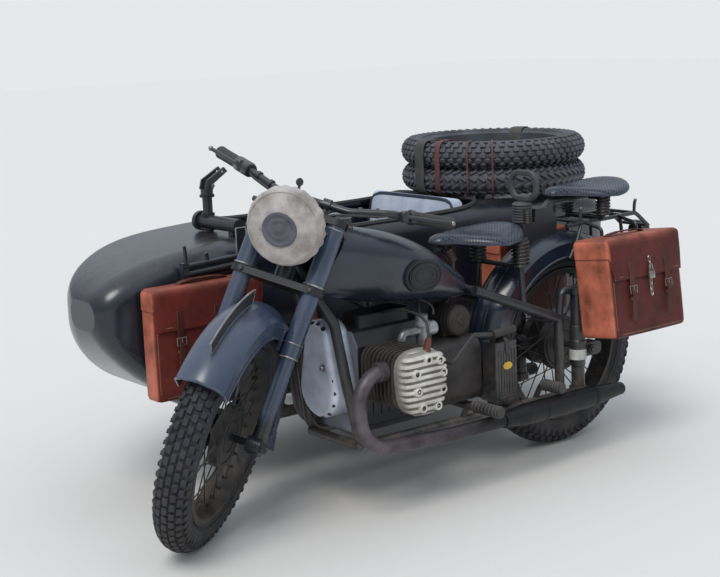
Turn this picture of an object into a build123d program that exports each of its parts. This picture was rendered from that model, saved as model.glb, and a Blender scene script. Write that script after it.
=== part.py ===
from build123d import *
from math import asin, atan2, cos, degrees, radians, sin, sqrt, tan
import os

# A flat-twin motorcycle with a sidecar on its right, parked with the steering on its left stop.
# Millimetres. +X is ahead, +Y is to the rider's left, +Z is up, and the floor is Z = 0.
# Places on the outfit are given from the rear axle's foot on the floor: x ahead of the axle,
# y to the left of the motorcycle's middle, z above the floor.

# Stance
WHEELBASE = 1400.0
AXLE_X = -509.0
LINE_Y = 428.0
RAKE = 28.0
TRAIL = 95.0
LOCK = 38.85

# Wheels, all three alike
TYRE_R = 345.0
TREAD_R = 52.0
TYRE_HALF = 48.0
BEAD_R = 244.0
RIM_R = 258.0
RIM_HALF = 38.0
RIM_SHEET = 4.0
RIM_WELL_R = 238.0
HUB_HALF = 34.0
DRUM_R = 92.0
DRUM_WIDTH = 34.0
HUB_R = 30.0
HUB_FLANGE_R = 48.0
SPOKE_R = 2.2
SPOKES = 36
AXLE_R = 10.0
RUNNING = 0.05
SEAT_GAP = 0.3

# Sidecar wheel
SIDECAR_LEAD = 180.0
TRACK = 1130.0

# Mudguards
GUARD_R = 380.0
GUARD_HALF = 70.0
GUARD_SHEET = 4.0
GUARD_SKIRT_R = 300.0

# Frame tubes
TUBE_R = 16.0
RAIL_Z = 212.0
RAIL_Y = 122.0
HEAD_LOW = 470.0
HEAD_HIGH = 645.0
HEAD_R = 32.0
STEM_R = 16.0
SEAT_LUG_X = 455.0
SEAT_LUG_Z = 600.0

# Fork, in its own frame: x ahead of the steering axis, y left, z up the axis from the hub's level
LEG_X = 55.0
LEG_Y = 105.0
SHROUD_R = 30.0
TUBE_LOWER_R = 27.0
SLIDER_R = 22.5
COLLAR_Z = 475.0
RING_Z = 257.0
YOKE_T = 20.0
YOKE_GAP = 5.5

# Steering geometry: the wheel leans as it steers, so the fork stands as high as its tyre then needs
HUB_OFFSET = (TYRE_R * sin(radians(RAKE))) - TRAIL * cos(radians(RAKE))
HUB_UP = TYRE_R * cos(radians(RAKE)) + TRAIL * sin(radians(RAKE))
AXLE_TILT = sin(radians(RAKE)) * sin(radians(LOCK))
HUB_Z = (TYRE_R - TREAD_R) * sqrt(1 - AXLE_TILT**2) + TREAD_R
OFFSET_RISE = HUB_OFFSET * sin(radians(RAKE)) * cos(radians(LOCK))
FORK_X = AXLE_X + WHEELBASE + TRAIL - HUB_UP * sin(radians(RAKE))
FORK_Z = HUB_Z - OFFSET_RISE

STRAIGHT = Plane(
    (FORK_X, LINE_Y, FORK_Z),
    x_dir=(cos(radians(RAKE)), 0, sin(radians(RAKE))),
    z_dir=(-sin(radians(RAKE)), 0, cos(radians(RAKE))),
)
BIKE = Plane((AXLE_X, LINE_Y, 0))


def turned(plane, angle):
    """The plane turned about its own z."""
    c, s = cos(radians(angle)), sin(radians(angle))
    return Plane(plane.origin, x_dir=plane.x_dir * c + plane.y_dir * s, z_dir=plane.z_dir)


def tipped(plane, angle):
    """The plane turned about its own x."""
    c, s = cos(radians(angle)), sin(radians(angle))
    return Plane(plane.origin, x_dir=plane.x_dir, z_dir=plane.z_dir * c - plane.y_dir * s)


FORK = turned(STRAIGHT, LOCK)


def side(y, x=0, z=0):
    """A plane along the outfit, its x ahead and its y up, y to the left of the middle."""
    return Plane((AXLE_X + x, LINE_Y + y, z), x_dir=(1, 0, 0), z_dir=(0, -1, 0))


def across(x, y=0, z=0):
    """A plane across the outfit, its x to the left and its y up, x ahead of the rear axle."""
    return Plane((AXLE_X + x, LINE_Y + y, z), x_dir=(0, 1, 0), z_dir=(1, 0, 0))


def level(z, x=0, y=0):
    return Plane((AXLE_X + x, LINE_Y + y, z))


def fork_side(y, x=0, z=0):
    return Plane(FORK.from_local_coords((x, y, z)), x_dir=FORK.x_dir, z_dir=-FORK.y_dir)


def fork_level(z, x=0, y=0):
    return Plane(FORK.from_local_coords((x, y, z)), x_dir=FORK.x_dir, z_dir=FORK.z_dir)


def tube(points, radius, bend=0.0, plane=BIKE, mode=Mode.ADD):
    """A round bar along straight runs joined by tangent bends."""
    with BuildLine(plane) as path:
        if len(points) > 2:
            FilletPolyline(*points, radius=bend)
        else:
            Line(*points)
    with BuildSketch(Plane(path.line @ 0, z_dir=path.line % 0)) as section:
        Circle(radius)
    sweep(section.sketch, path=path.line, mode=mode)


os.makedirs("parts", exist_ok=True)


# A wheel stands in a plane whose z is its axle, pointing to the wheel's left.
def tyre_profile():
    shoulder = TYRE_R - TREAD_R + sqrt(TREAD_R**2 - TYRE_HALF**2)
    with BuildSketch(Plane.XZ) as profile:
        with BuildLine():
            Polyline(
                (RIM_R + SEAT_GAP, TYRE_HALF * 0.7), (BEAD_R + SEAT_GAP, TYRE_HALF * 0.7),
                (BEAD_R + SEAT_GAP, -TYRE_HALF * 0.7), (RIM_R + SEAT_GAP, -TYRE_HALF * 0.7),
            )
            ThreePointArc(
                (RIM_R + SEAT_GAP, -TYRE_HALF * 0.7), (RIM_R * 1.1, -TYRE_HALF * 0.99), (shoulder, -TYRE_HALF)
            )
            ThreePointArc((shoulder, -TYRE_HALF), (TYRE_R, 0), (shoulder, TYRE_HALF))
            ThreePointArc(
                (shoulder, TYRE_HALF), (RIM_R * 1.1, TYRE_HALF * 0.99), (RIM_R + SEAT_GAP, TYRE_HALF * 0.7)
            )
        make_face()
    return profile.sketch


with BuildPart() as tyre:
    revolve(tyre_profile(), axis=Axis.Z)

with BuildPart() as wheel:
    # rim, a channel with turned flanges
    with BuildSketch(Plane.XZ):
        with BuildLine():
            Polyline(
                (RIM_WELL_R, -RIM_HALF), (RIM_R, -RIM_HALF), (RIM_R, -RIM_HALF + RIM_SHEET),
                (BEAD_R, -RIM_HALF + RIM_SHEET), (BEAD_R, RIM_HALF - RIM_SHEET),
                (RIM_R, RIM_HALF - RIM_SHEET), (RIM_R, RIM_HALF), (RIM_WELL_R, RIM_HALF), close=True,
            )
        make_face()
    revolve(axis=Axis.Z)
    # hub with its brake drum on the left and a spoke flange on the right
    with BuildSketch(Plane.XZ):
        with BuildLine():
            Polyline(
                (AXLE_R + RUNNING, -HUB_HALF), (HUB_R, -HUB_HALF), (HUB_FLANGE_R, -HUB_HALF + 4),
                (HUB_FLANGE_R, -HUB_HALF + 9), (HUB_R, -HUB_HALF + 14), (HUB_R, HUB_HALF - DRUM_WIDTH),
                (DRUM_R, HUB_HALF - DRUM_WIDTH + 4), (DRUM_R, HUB_HALF), (AXLE_R + RUNNING, HUB_HALF),
                close=True,
            )
        make_face()
    revolve(axis=Axis.Z)
    # laced spokes: every second one leans ahead, its neighbour back
    spokes = []
    for turn in range(SPOKES):
        face = 1 if turn % 2 else -1
        lean = 1 if (turn // 2) % 2 else -1
        root_r = DRUM_R - 3 if face > 0 else HUB_FLANGE_R - 4
        root_z = face * (HUB_HALF - (10 if face > 0 else 6.5))
        angle = radians(360 / SPOKES * turn)
        root_angle = angle + lean * radians(32 if face > 0 else 50)
        root = Vector(root_r * cos(root_angle), root_r * sin(root_angle), root_z)
        tip = Vector((RIM_WELL_R + 2) * cos(angle), (RIM_WELL_R + 2) * sin(angle), face * 4)
        with BuildSketch(Plane(root, z_dir=tip - root), mode=Mode.PRIVATE) as spoke:
            RegularPolygon(SPOKE_R, 6)
        spokes.append(extrude(spoke.sketch, amount=(tip - root).length, mode=Mode.PRIVATE))
    add(spokes)

front_wheel_place = Plane(FORK.from_local_coords((HUB_OFFSET, 0, 0)), x_dir=FORK.x_dir, z_dir=FORK.y_dir)
rear_wheel_place = Plane((AXLE_X, LINE_Y, TYRE_R), x_dir=(1, 0, 0), z_dir=(0, 1, 0))
sidecar_wheel_place = Plane(
    (AXLE_X + SIDECAR_LEAD, LINE_Y - TRACK, TYRE_R), x_dir=(1, 0, 0), z_dir=(0, 1, 0)
)
for where, place in (
    ("front", front_wheel_place),
    ("rear", rear_wheel_place),
    ("sidecar", sidecar_wheel_place),
):
    for kind, piece in (("tyre", tyre), ("wheel", wheel)):
        placed = piece.part.moved(place.location)
        placed.label = f"{where}_{kind}"
        export_step(placed, f"parts/{where}_{kind}.step")


def guard(place, start, arc, half=GUARD_HALF, skirt=GUARD_SKIRT_R):
    """A valanced mudguard: its channel turned about the axle from start through arc degrees."""
    first = turned(place, start)
    profile_plane = Plane(first.origin, x_dir=first.x_dir, z_dir=-first.y_dir)
    with BuildSketch(profile_plane) as channel:
        with BuildLine():
            Line((skirt, half), (GUARD_R - half / 2, half))
            ThreePointArc((GUARD_R - half / 2, half), (GUARD_R, 0), (GUARD_R - half / 2, -half))
            Line((GUARD_R - half / 2, -half), (skirt, -half))
            Line((skirt, -half), (skirt, -half + GUARD_SHEET))
            Line((skirt, -half + GUARD_SHEET), (GUARD_R - half / 2, -half + GUARD_SHEET))
            ThreePointArc(
                (GUARD_R - half / 2, -half + GUARD_SHEET), (GUARD_R - GUARD_SHEET, 0),
                (GUARD_R - half / 2, half - GUARD_SHEET),
            )
            Line((GUARD_R - half / 2, half - GUARD_SHEET), (skirt, half - GUARD_SHEET))
            Line((skirt, half - GUARD_SHEET), (skirt, half))
        make_face()
    revolve(channel.sketch, axis=Axis(first.origin, first.z_dir), revolution_arc=arc)


# Tube frame: a bar under the tank to the steering head, rails that loop down and back under the
# engine, uprights, and rear stays that end at the plunger springing
UPRIGHT_X = 112.0
UPRIGHT_TOP = 460.0
PLUNGER_X = 38.0
PLUNGER_Y = 135.0
PLUNGER_LOW = 222.0
PLUNGER_HIGH = 534.0
PLUNGER_R = 26.0
LUG_T = 22.0
DOWN_X = 985.0
backbone_y = 30.0
head_foot = STRAIGHT.from_local_coords((0, 0, HEAD_LOW + 55)) - BIKE.origin
head_top = STRAIGHT.from_local_coords((0, 0, HEAD_HIGH - 45)) - BIKE.origin
with BuildPart(BIKE) as frame:
    for hand in (1, -1):
        tube(
            [(SEAT_LUG_X, hand * backbone_y, SEAT_LUG_Z), (head_top.X, hand * 14, head_top.Z)], TUBE_R
        )
        tube(
            [(SEAT_LUG_X, hand * 92, SEAT_LUG_Z), (UPRIGHT_X, hand * RAIL_Y, UPRIGHT_TOP)], TUBE_R
        )
        tube(
            [(UPRIGHT_X, hand * RAIL_Y, UPRIGHT_TOP + 8), (UPRIGHT_X, hand * RAIL_Y, RAIL_Z)], TUBE_R
        )
        tube(
            [
                (head_foot.X, hand * 16, head_foot.Z), (DOWN_X + 8, hand * 75, 580.0),
                (DOWN_X, hand * 108, 420.0), (DOWN_X - 35, hand * RAIL_Y, RAIL_Z),
                (PLUNGER_X, hand * PLUNGER_Y, PLUNGER_LOW - TUBE_R - 1),
            ],
            TUBE_R, 60.0,
        )
        tube(
            [
                (UPRIGHT_X, hand * RAIL_Y, UPRIGHT_TOP), (UPRIGHT_X - 12, hand * RAIL_Y, PLUNGER_HIGH + 15),
                (PLUNGER_X, hand * PLUNGER_Y, PLUNGER_HIGH + 15),
            ],
            TUBE_R * 0.8, 22.0,
        )
        for z in (PLUNGER_LOW - LUG_T, PLUNGER_HIGH):
            with BuildSketch(level(z, PLUNGER_X, hand * PLUNGER_Y)):
                Circle(PLUNGER_R + 4)
            extrude(amount=LUG_T)
    for x, y, z in (
        (SEAT_LUG_X, 92, SEAT_LUG_Z), (425.0, RAIL_Y, RAIL_Z), (DOWN_X - 35, RAIL_Y, RAIL_Z),
    ):
        tube([(x, -y, z), (x, y, z)], TUBE_R * 0.9)
    with BuildSketch(Plane(STRAIGHT.from_local_coords((0, 0, HEAD_LOW)), z_dir=STRAIGHT.z_dir)):
        Circle(HEAD_R)
    extrude(amount=HEAD_HIGH - HEAD_LOW)
    with BuildSketch(Plane(STRAIGHT.from_local_coords((0, 0, HEAD_LOW)), z_dir=STRAIGHT.z_dir)):
        Circle(STEM_R + RUNNING)
    extrude(amount=HEAD_HIGH - HEAD_LOW, mode=Mode.SUBTRACT)
frame.part.label = "frame"
export_step(frame.part, "parts/frame.step")

# Plunger units: telescopic covers on each side, joined by the axle through their middle
plunger_profile = [
    # radius, height from the lower lug
    (PLUNGER_R - 4, 0.0), (PLUNGER_R - 4, 70.0), (PLUNGER_R - 1, 74.0), (PLUNGER_R - 1, 118.0),
    (PLUNGER_R + 2, 122.0), (PLUNGER_R + 2, 156.0), (PLUNGER_R, 160.0), (PLUNGER_R, 205.0),
    (PLUNGER_R - 3, 208.0), (PLUNGER_R - 3, PLUNGER_HIGH - PLUNGER_LOW),
]
with BuildPart() as plungers:
    for hand in (1, -1):
        with BuildSketch(across(PLUNGER_X, hand * PLUNGER_Y, PLUNGER_LOW)) as half:
            with BuildLine():
                Polyline((0, 0), *plunger_profile, (0, PLUNGER_HIGH - PLUNGER_LOW), close=True)
            make_face()
        revolve(axis=Axis(level(0, PLUNGER_X, hand * PLUNGER_Y).origin, (0, 0, 1)))
        with BuildSketch(side(hand * PLUNGER_Y, 0, TYRE_R)):
            RectangleRounded(2 * PLUNGER_X + 2 * PLUNGER_R - 24, 44, 18)
        extrude(amount=22, both=True)
        with BuildSketch(side(hand * (PLUNGER_Y + 28), 0, TYRE_R)):
            RegularPolygon(17, 6)
        extrude(amount=6, both=True)
    with BuildSketch(side(0, 0, TYRE_R)):
        Circle(AXLE_R)
    extrude(amount=PLUNGER_Y + 38, both=True)
plungers.part.label = "plungers"
export_step(plungers.part, "parts/plungers.step")

# Bevel drive on the right of the rear wheel, with the shaft's tube from the gearbox
DRIVE_Y = -78.0
DRIVE_R = 84.0
GEARBOX_X = 470.0
SHAFT_R = 15.0
with BuildPart() as final_drive:
    with BuildSketch(side(DRIVE_Y + 22, 0, TYRE_R)):
        Circle(DRIVE_R)
    extrude(amount=46)
    chamfer(final_drive.edges().group_by(Axis.Y)[0], 16)
    with BuildSketch(side(DRIVE_Y + 22, 0, TYRE_R)):
        Circle(AXLE_R + RUNNING)
    extrude(amount=46, mode=Mode.SUBTRACT)
    with BuildSketch(across(DRIVE_R - 24, DRIVE_Y, TYRE_R)):
        Circle(30)
    extrude(amount=54, taper=8)
    tube([(DRIVE_R, DRIVE_Y, TYRE_R), (GEARBOX_X - 30, DRIVE_Y, TYRE_R)], SHAFT_R)
final_drive.part.label = "final_drive"
export_step(final_drive.part, "parts/final_drive.step")

# Engine, a flat twin: crankcase with its front cover, finned barrels and ribbed heads
CRANK_Z = 405.0
CRANK_X = 825.0
CASE_HALF = 96.0
CASE_BACK = 640.0
CASE_FRONT = 985.0
HEAD_Y = 262.0
HEAD_DEPTH = 62.0
HEAD_SIZE = 196.0
CYLINDER_X = {1: 846.0, -1: 812.0}
CYLINDER_Z = 424.0
FIN_COUNT = 9
FIN_T = 5.0
FIN_LONG = 172.0
FIN_TALL = 168.0
with BuildPart() as crankcase:
    with BuildSketch(across(CASE_BACK, 0, 0)) as block:
        with BuildLine():
            Polyline(
                (-CASE_HALF + 12, 236), (CASE_HALF - 12, 236), (CASE_HALF, 262), (CASE_HALF, 500),
                (70, 545), (-70, 545), (-CASE_HALF, 500), (-CASE_HALF, 262), close=True,
            )
        make_face()
        fillet(block.vertices(), 12)
    extrude(amount=290)
    # front cover, pear-shaped, over the timing gears and the dynamo above them
    with BuildSketch(across(CASE_BACK + 290, 0, 0)) as cover:
        with Locations((0, CRANK_Z - 30)):
            Circle(88)
        with Locations((0, 520)):
            Circle(58)
        make_hull()
    extrude(amount=CASE_FRONT - CASE_BACK - 290 + 27)
    fillet(crankcase.faces().sort_by(Axis.X)[-1].edges(), 18)
    # intake cover over the dynamo and magneto
    with BuildSketch(level(540, 780, 0)):
        RectangleRounded(210, 110, 30)
    extrude(amount=40, taper=12)
crankcase.part.label = "crankcase"
export_step(crankcase.part, "parts/crankcase.step")

with BuildPart() as cylinders:
    for hand, x in CYLINDER_X.items():
        start = side(hand * (CASE_HALF + SEAT_GAP), x, CYLINDER_Z)
        length = HEAD_Y - CASE_HALF - 2 * SEAT_GAP
        with BuildSketch(start):
            Circle(56)
        extrude(amount=-hand * length)
        for fin in range(FIN_COUNT):
            y = CASE_HALF + 22 + fin * (length - 30) / (FIN_COUNT - 1)
            with BuildSketch(side(hand * y, x, CYLINDER_Z)):
                RectangleRounded(FIN_LONG, FIN_TALL, 40)
            extrude(amount=FIN_T / 2, both=True)
cylinders.part.label = "cylinders"
export_step(cylinders.part, "parts/cylinders.step")

with BuildPart() as cylinder_heads:
    for hand, x in CYLINDER_X.items():
        with BuildSketch(side(hand * HEAD_Y, x, CYLINDER_Z)):
            RectangleRounded(HEAD_SIZE, HEAD_SIZE, 46)
        extrude(amount=-hand * 30)
        with BuildSketch(side(hand * (HEAD_Y + 30), x, CYLINDER_Z)):
            RectangleRounded(HEAD_SIZE - 24, HEAD_SIZE - 24, 40)
        extrude(amount=-hand * 12)
        for rib in range(9):
            z = CYLINDER_Z + (rib - 4) * 19.0
            reach = sqrt(max(0.0, 1 - (abs(rib - 4) / 5.6) ** 2))
            with BuildSketch(side(hand * HEAD_Y, x, z)):
                RectangleRounded(HEAD_SIZE * (0.7 + 0.27 * reach), 6, 2.9)
            extrude(amount=-hand * (HEAD_DEPTH - 10 + 10 * reach))
cylinder_heads.part.label = "cylinder_heads"
export_step(cylinder_heads.part, "parts/cylinder_heads.step")

with BuildPart() as gearbox:
    with BuildSketch(across(GEARBOX_X - 30, 0, 352)):
        RectangleRounded(200, 210, 46)
    extrude(amount=CASE_BACK - GEARBOX_X + 30)
gearbox.part.label = "gearbox"
export_step(gearbox.part, "parts/gearbox.step")

CARB_Y = 150.0
CARB_BACK = 122.0
PORT_BACK = 42.0
INLET_Z = 530.0
with BuildPart() as carburettors:
    for hand in (1, -1):
        x = CYLINDER_X[hand]
        with BuildSketch(level(INLET_Z - 46, x - CARB_BACK, hand * CARB_Y)):
            Circle(19)
        extrude(amount=92)
        with BuildSketch(level(INLET_Z + 14, x - CARB_BACK, hand * CARB_Y)):
            Circle(25)
        extrude(amount=12)
        with BuildSketch(across(x - CARB_BACK - 46, hand * CARB_Y, INLET_Z)):
            Circle(21)
        extrude(amount=46)
        tube(
            [(x - CARB_BACK, hand * CARB_Y, INLET_Z), (x - PORT_BACK, hand * CARB_Y, INLET_Z),
             (x - PORT_BACK, hand * CARB_Y, CYLINDER_Z + FIN_TALL / 2 + SEAT_GAP)],
            12, 18,
        )
carburettors.part.label = "carburettors"
export_step(carburettors.part, "parts/carburettors.step")

AIR_X = 458.0
with BuildPart() as air_cleaner:
    with BuildSketch(side(82, AIR_X + 50, 512)):
        Circle(45)
    extrude(amount=110)
    fillet(air_cleaner.faces().sort_by(Axis.Y)[-1].edges(), 8)
    # its foot on the gearbox
    with BuildSketch(level(457 + SEAT_GAP, AIR_X + 50, 0)):
        RectangleRounded(56, 70, 8)
    extrude(amount=30)
air_cleaner.part.label = "air_cleaner"
export_step(air_cleaner.part, "parts/air_cleaner.step")

BATTERY = {"x": 454.0, "y": 123.3, "z": 262.0, "long": 92.0, "wide": 66.0, "tall": 176.0}
with BuildPart() as battery:
    with BuildSketch(level(BATTERY["z"], BATTERY["x"] - 62, BATTERY["y"] + 10)):
        RectangleRounded(BATTERY["long"], BATTERY["wide"], 8)
    extrude(amount=BATTERY["tall"])
    # the case's ribs, its tray and the bracket on the frame's rail
    for rib in range(7):
        with BuildSketch(
            level(BATTERY["z"] + 14, BATTERY["x"] - 62 + (rib - 3) * 11.5, BATTERY["y"] + 10 + BATTERY["wide"] / 2)
        ):
            Rectangle(5, 4)
        extrude(amount=BATTERY["tall"] - 40)
    with BuildSketch(level(BATTERY["z"] - 12, BATTERY["x"] - 62, BATTERY["y"] + 13)):
        RectangleRounded(BATTERY["long"] + 10, BATTERY["wide"] + 6, 4)
    extrude(amount=14)
    with BuildSketch(level(RAIL_Z, BATTERY["x"] - 62, RAIL_Y)):
        Rectangle(40, 18)
    extrude(amount=BATTERY["z"] - RAIL_Z - 2)
    add(frame.part, mode=Mode.SUBTRACT)
battery.part.label = "battery"
export_step(battery.part, "parts/battery.step")

# Exhausts: a bend ahead of each cylinder, a pipe under it and a slim silencer
PIPE_R = 21.0
SILENCER_R = 34.0
exhaust_route = {
    # x, y, z from the port ahead, down and back to the silencer
    1: [(932.3, 225, 455), (1038, 225, 455), (1032, 240, 240), (700, 244, 222), (478, 240, 218)],
    -1: [(893, 214, 455), (966, 184, 455), (956, 156, 250), (850, 196, 222), (640, 226, 220), (478, 226, 218)],
}
exhaust_bends = {1: [92, 98, 60], -1: [62, 70, 60, 60]}
with BuildPart() as exhausts:
    for hand in (1, -1):
        route = [(x, hand * y, z) for x, y, z in exhaust_route[hand]]
        tube(route, PIPE_R, exhaust_bends[hand])
        nose = BIKE.from_local_coords(route[-1])
        end = BIKE.from_local_coords((-90.0, route[-1][1] * 0.86, 203.0))
        run = (end - nose).length
        slope = Plane(nose, z_dir=end - nose)
        along = Plane(nose, x_dir=slope.x_dir, z_dir=slope.y_dir)
        with BuildSketch(along) as can:
            with BuildLine():
                Polyline(
                    (0, 0), (PIPE_R + 2, 0), (SILENCER_R, -90), (SILENCER_R, -run * 0.72),
                    (SILENCER_R * 0.6, -run), (0, -run), close=True,
                )
            make_face()
        revolve(axis=Axis(nose, slope.z_dir))
    add(cylinders.part, mode=Mode.SUBTRACT)
exhausts.part.label = "exhausts"
export_step(exhausts.part, "parts/exhausts.step")

# Fuel tank, a teardrop lofted through rounded sections and open below over the frame bar
TANK_SECTIONS = [
    # x, half width, underside, top, corner radius
    (480.0, 78.0, 584.0, 652.0, 30.0),
    (570.0, 116.0, 588.0, 712.0, 52.0),
    (700.0, 152.0, 604.0, 788.0, 72.0),
    (840.0, 166.0, 624.0, 838.0, 80.0),
    (950.0, 146.0, 644.0, 860.0, 76.0),
    (1050.0, 92.0, 672.0, 862.0, 56.0),
]
TANK_BACKSET = 62.0
TUNNEL_HALF = 56.0
with BuildPart() as tank:
    for x, half, low, high, corner in TANK_SECTIONS:
        with BuildSketch(across(x, 0, (low + high) / 2)):
            RectangleRounded(2 * half, high - low, corner)
    loft()
    split(bisect_by=Plane(STRAIGHT.from_local_coords((-TANK_BACKSET, 0, 0)), z_dir=-STRAIGHT.x_dir))
    with BuildSketch(side(0)):
        with BuildLine():
            Polyline(
                (SEAT_LUG_X, SEAT_LUG_Z - 60), (SEAT_LUG_X, SEAT_LUG_Z + 18),
                (head_top.X, head_top.Z + 18), (head_foot.X + 40, head_top.Z + 18),
                (head_foot.X + 40, SEAT_LUG_Z - 60), close=True,
            )
        make_face()
    extrude(amount=TUNNEL_HALF, both=True, mode=Mode.SUBTRACT)
    for hand in (1, -1):
        tube(
            [(head_foot.X, hand * 16, head_foot.Z), (DOWN_X + 8, hand * 75, 580)],
            TUBE_R + 4, mode=Mode.SUBTRACT,
        )
    with BuildSketch(level(826, 900, 0)):
        Circle(34)
    extrude(amount=46)
tank.part.label = "tank"
export_step(tank.part, "parts/tank.step")

KNEE_X = 728.0
KNEE_Z = 695.0
with BuildPart() as knee_pads:
    for hand in (1, -1):
        with BuildSketch(side(hand * 120, KNEE_X, KNEE_Z)):
            Ellipse(72, 50)
        extrude(amount=-hand * 52)
        with BuildSketch(side(hand * 168, KNEE_X, KNEE_Z)):
            Ellipse(58, 38)
        extrude(amount=-hand * 8)
    add(tank.part, mode=Mode.SUBTRACT)
knee_pads.part.label = "knee_pads"
export_step(knee_pads.part, "parts/knee_pads.step")

# Saddles: pressed pans, wide at the back with a narrow nose, each on its own springing
SADDLES = {
    # back, nose, half width, underside, rim top
    "driver_saddle": (205.0, 549.0, 148.0, 742.0, 788.0),
    "passenger_saddle": (-302.0, 38.0, 142.0, 838.0, 884.0),
}
NOSE_R = 34.0
for name, (back, nose, half, low, high) in SADDLES.items():
    widest = back + half
    narrow = nose - NOSE_R
    with BuildPart() as saddle:
        with BuildSketch(level(low)):
            with BuildLine():
                ThreePointArc((widest, half), (back, 0), (widest, -half))
                for hand in (-1, 1):
                    Spline(
                        (widest, hand * half),
                        (widest + (narrow - widest) * 0.5, hand * (half * 0.64)),
                        (narrow, hand * NOSE_R),
                        tangents=[(1, 0), (1, -hand * 0.04)],
                    )
                ThreePointArc((narrow, -NOSE_R), (nose, 0), (narrow, NOSE_R))
            make_face()
        extrude(amount=high - low)
        # seen from the side the rear rim rises and the middle is dished
        with BuildSketch(side(0)):
            with BuildLine():
                Polyline((nose + 5, high - 10), (nose + 5, low), (back - 5, low), (back - 5, high))
                Spline(
                    (back - 5, high), (widest, high - 13), (nose + 5, high - 10), tangents=[(1, -0.12), (1, 0)]
                )
            make_face()
        extrude(amount=half + 5, both=True, mode=Mode.INTERSECT)
    saddle.part.label = name
    export_step(saddle.part, f"parts/{name}.step")

SPRING_X = 258.0
SPRING_Y = 98.0
SPRING_FOOT = 648.0
NOSE_POST_X = 462.0
REST_Z = 766.0
with BuildPart() as saddle_springs:
    driver_low = SADDLES["driver_saddle"][3] - SEAT_GAP
    passenger_low = SADDLES["passenger_saddle"][3] - SEAT_GAP
    for hand in (1, -1):
        with BuildSketch(level(SPRING_FOOT, SPRING_X, hand * SPRING_Y)):
            Circle(23)
        extrude(amount=driver_low - SPRING_FOOT)
        tube([(SPRING_X, hand * 110, 515), (SPRING_X, hand * SPRING_Y, SPRING_FOOT + 2)], 10)
    tube([(SPRING_X, SPRING_Y, SPRING_FOOT), (SPRING_X, -SPRING_Y, SPRING_FOOT)], 8)
    tube(
        [(530, 0, driver_low - 10), (500, 0, driver_low - 14), (NOSE_POST_X, 0, 700),
         (NOSE_POST_X, 0, SEAT_LUG_Z)],
        10, 18,
    )
    with BuildSketch(side(0)):
        with BuildLine():
            Polyline(
                (20, 700), (176, 700), (176, 770), (122, 770), (118, 812), (44, 812), (20, 776),
                close=True,
            )
        make_face()
        with Locations((0, TYRE_R)):
            Circle(GUARD_R + SEAT_GAP, mode=Mode.SUBTRACT)
    extrude(amount=30, both=True)
    # the passenger's saddle: a bar from the block back along its pan, and two coils at the rear
    tube([(60, 0, 800), (20, 0, passenger_low - 12), (-190, 0, passenger_low - 12)], 12, 20)
    for hand in (1, -1):
        tube([(-150, hand * 20, passenger_low - 12), (-150, hand * 92, passenger_low - 12)], 9)
        with BuildSketch(level(REST_Z, -150, hand * 80)):
            Circle(20)
        extrude(amount=passenger_low - REST_Z)
    add(frame.part, mode=Mode.SUBTRACT)
saddle_springs.part.label = "saddle_springs"
export_step(saddle_springs.part, "parts/saddle_springs.step")

with BuildPart() as grab_handle:
    with BuildSketch(across(132, 0, 890)) as ring:
        RectangleRounded(132, 102, 46)
        RectangleRounded(132 - 36, 102 - 36, 28, mode=Mode.SUBTRACT)
    extrude(amount=17)
    fillet(grab_handle.edges().filter_by(GeomType.LINE).filter_by(Axis.X, reverse=True), 5)
    with BuildSketch(level(770.0 + SEAT_GAP, 144, 0)):
        RectangleRounded(22, 34, 4)
    extrude(amount=70)
grab_handle.part.label = "grab_handle"
export_step(grab_handle.part, "parts/grab_handle.step")

# Rear mudguard with its skirts, and the rod carrier behind the passenger's saddle
with BuildPart() as rear_guard:
    guard(side(0, 0, TYRE_R), -18.0, 188.0)
    tube(
        [(200, DRIVE_Y, TYRE_R), (GEARBOX_X, DRIVE_Y, TYRE_R)], SHAFT_R + 5, mode=Mode.SUBTRACT
    )
rear_guard.part.label = "rear_guard"
export_step(rear_guard.part, "parts/rear_guard.step")

RACK_Z = 752.0
RACK_Y = 62.0
with BuildPart() as carrier:
    tube(
        [(20, 72, 748), (-330, RACK_Y, RACK_Z), (-345, RACK_Y, RACK_Z - 8), (-400, RACK_Y, 700)], 7, 12
    )
    tube(
        [(20, -72, 748), (-330, -RACK_Y, RACK_Z), (-345, -RACK_Y, RACK_Z - 8), (-400, -RACK_Y, 700)], 7, 12
    )
    for x in (-60, -160, -260, -330):
        tube([(x, -RACK_Y - 6, RACK_Z), (x, RACK_Y + 6, RACK_Z)], 6)
    tube([(-398, -RACK_Y, 702), (-398, RACK_Y, 702)], 6)
    tube([(-150, -86, REST_Z - 7 - SEAT_GAP), (-150, 86, REST_Z - 7 - SEAT_GAP)], 7)
    for hand in (1, -1):
        tube([(-250, hand * 66, RACK_Z), (-262, hand * 76, 600), (-262, hand * 76, 540)], 6, 30)
        tube([(-60, hand * 68, RACK_Z), (-30, hand * 76, 700), (10, hand * 78, 640)], 6, 30)
    # irons that reach out and down behind the panniers
    for hand, high_y, low_y in ((1, 144.0, 165.6), (-1, 163.8, 169.9)):
        for x in (-70, -240):
            tube([(x, hand * 60, RACK_Z), (x, hand * high_y, 736), (x, hand * low_y, 560)], 6, 16)
carrier.part.label = "carrier"
export_step(carrier.part, "parts/carrier.step")

with BuildPart() as tail_lamp:
    with BuildSketch(across(-404.5, 0, 676)):
        Circle(32)
    extrude(amount=-46)
    fillet(tail_lamp.faces().sort_by(Axis.X)[0].edges(), 8)
    with BuildSketch(level(696, -418, 0)):
        RectangleRounded(22, 30, 4)
    extrude(amount=14)
    with BuildSketch(across(-405, 0, 700)):
        RectangleRounded(40, 22, 4)
    extrude(amount=-20)
tail_lamp.part.label = "tail_lamp"
export_step(tail_lamp.part, "parts/tail_lamp.step")

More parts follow.
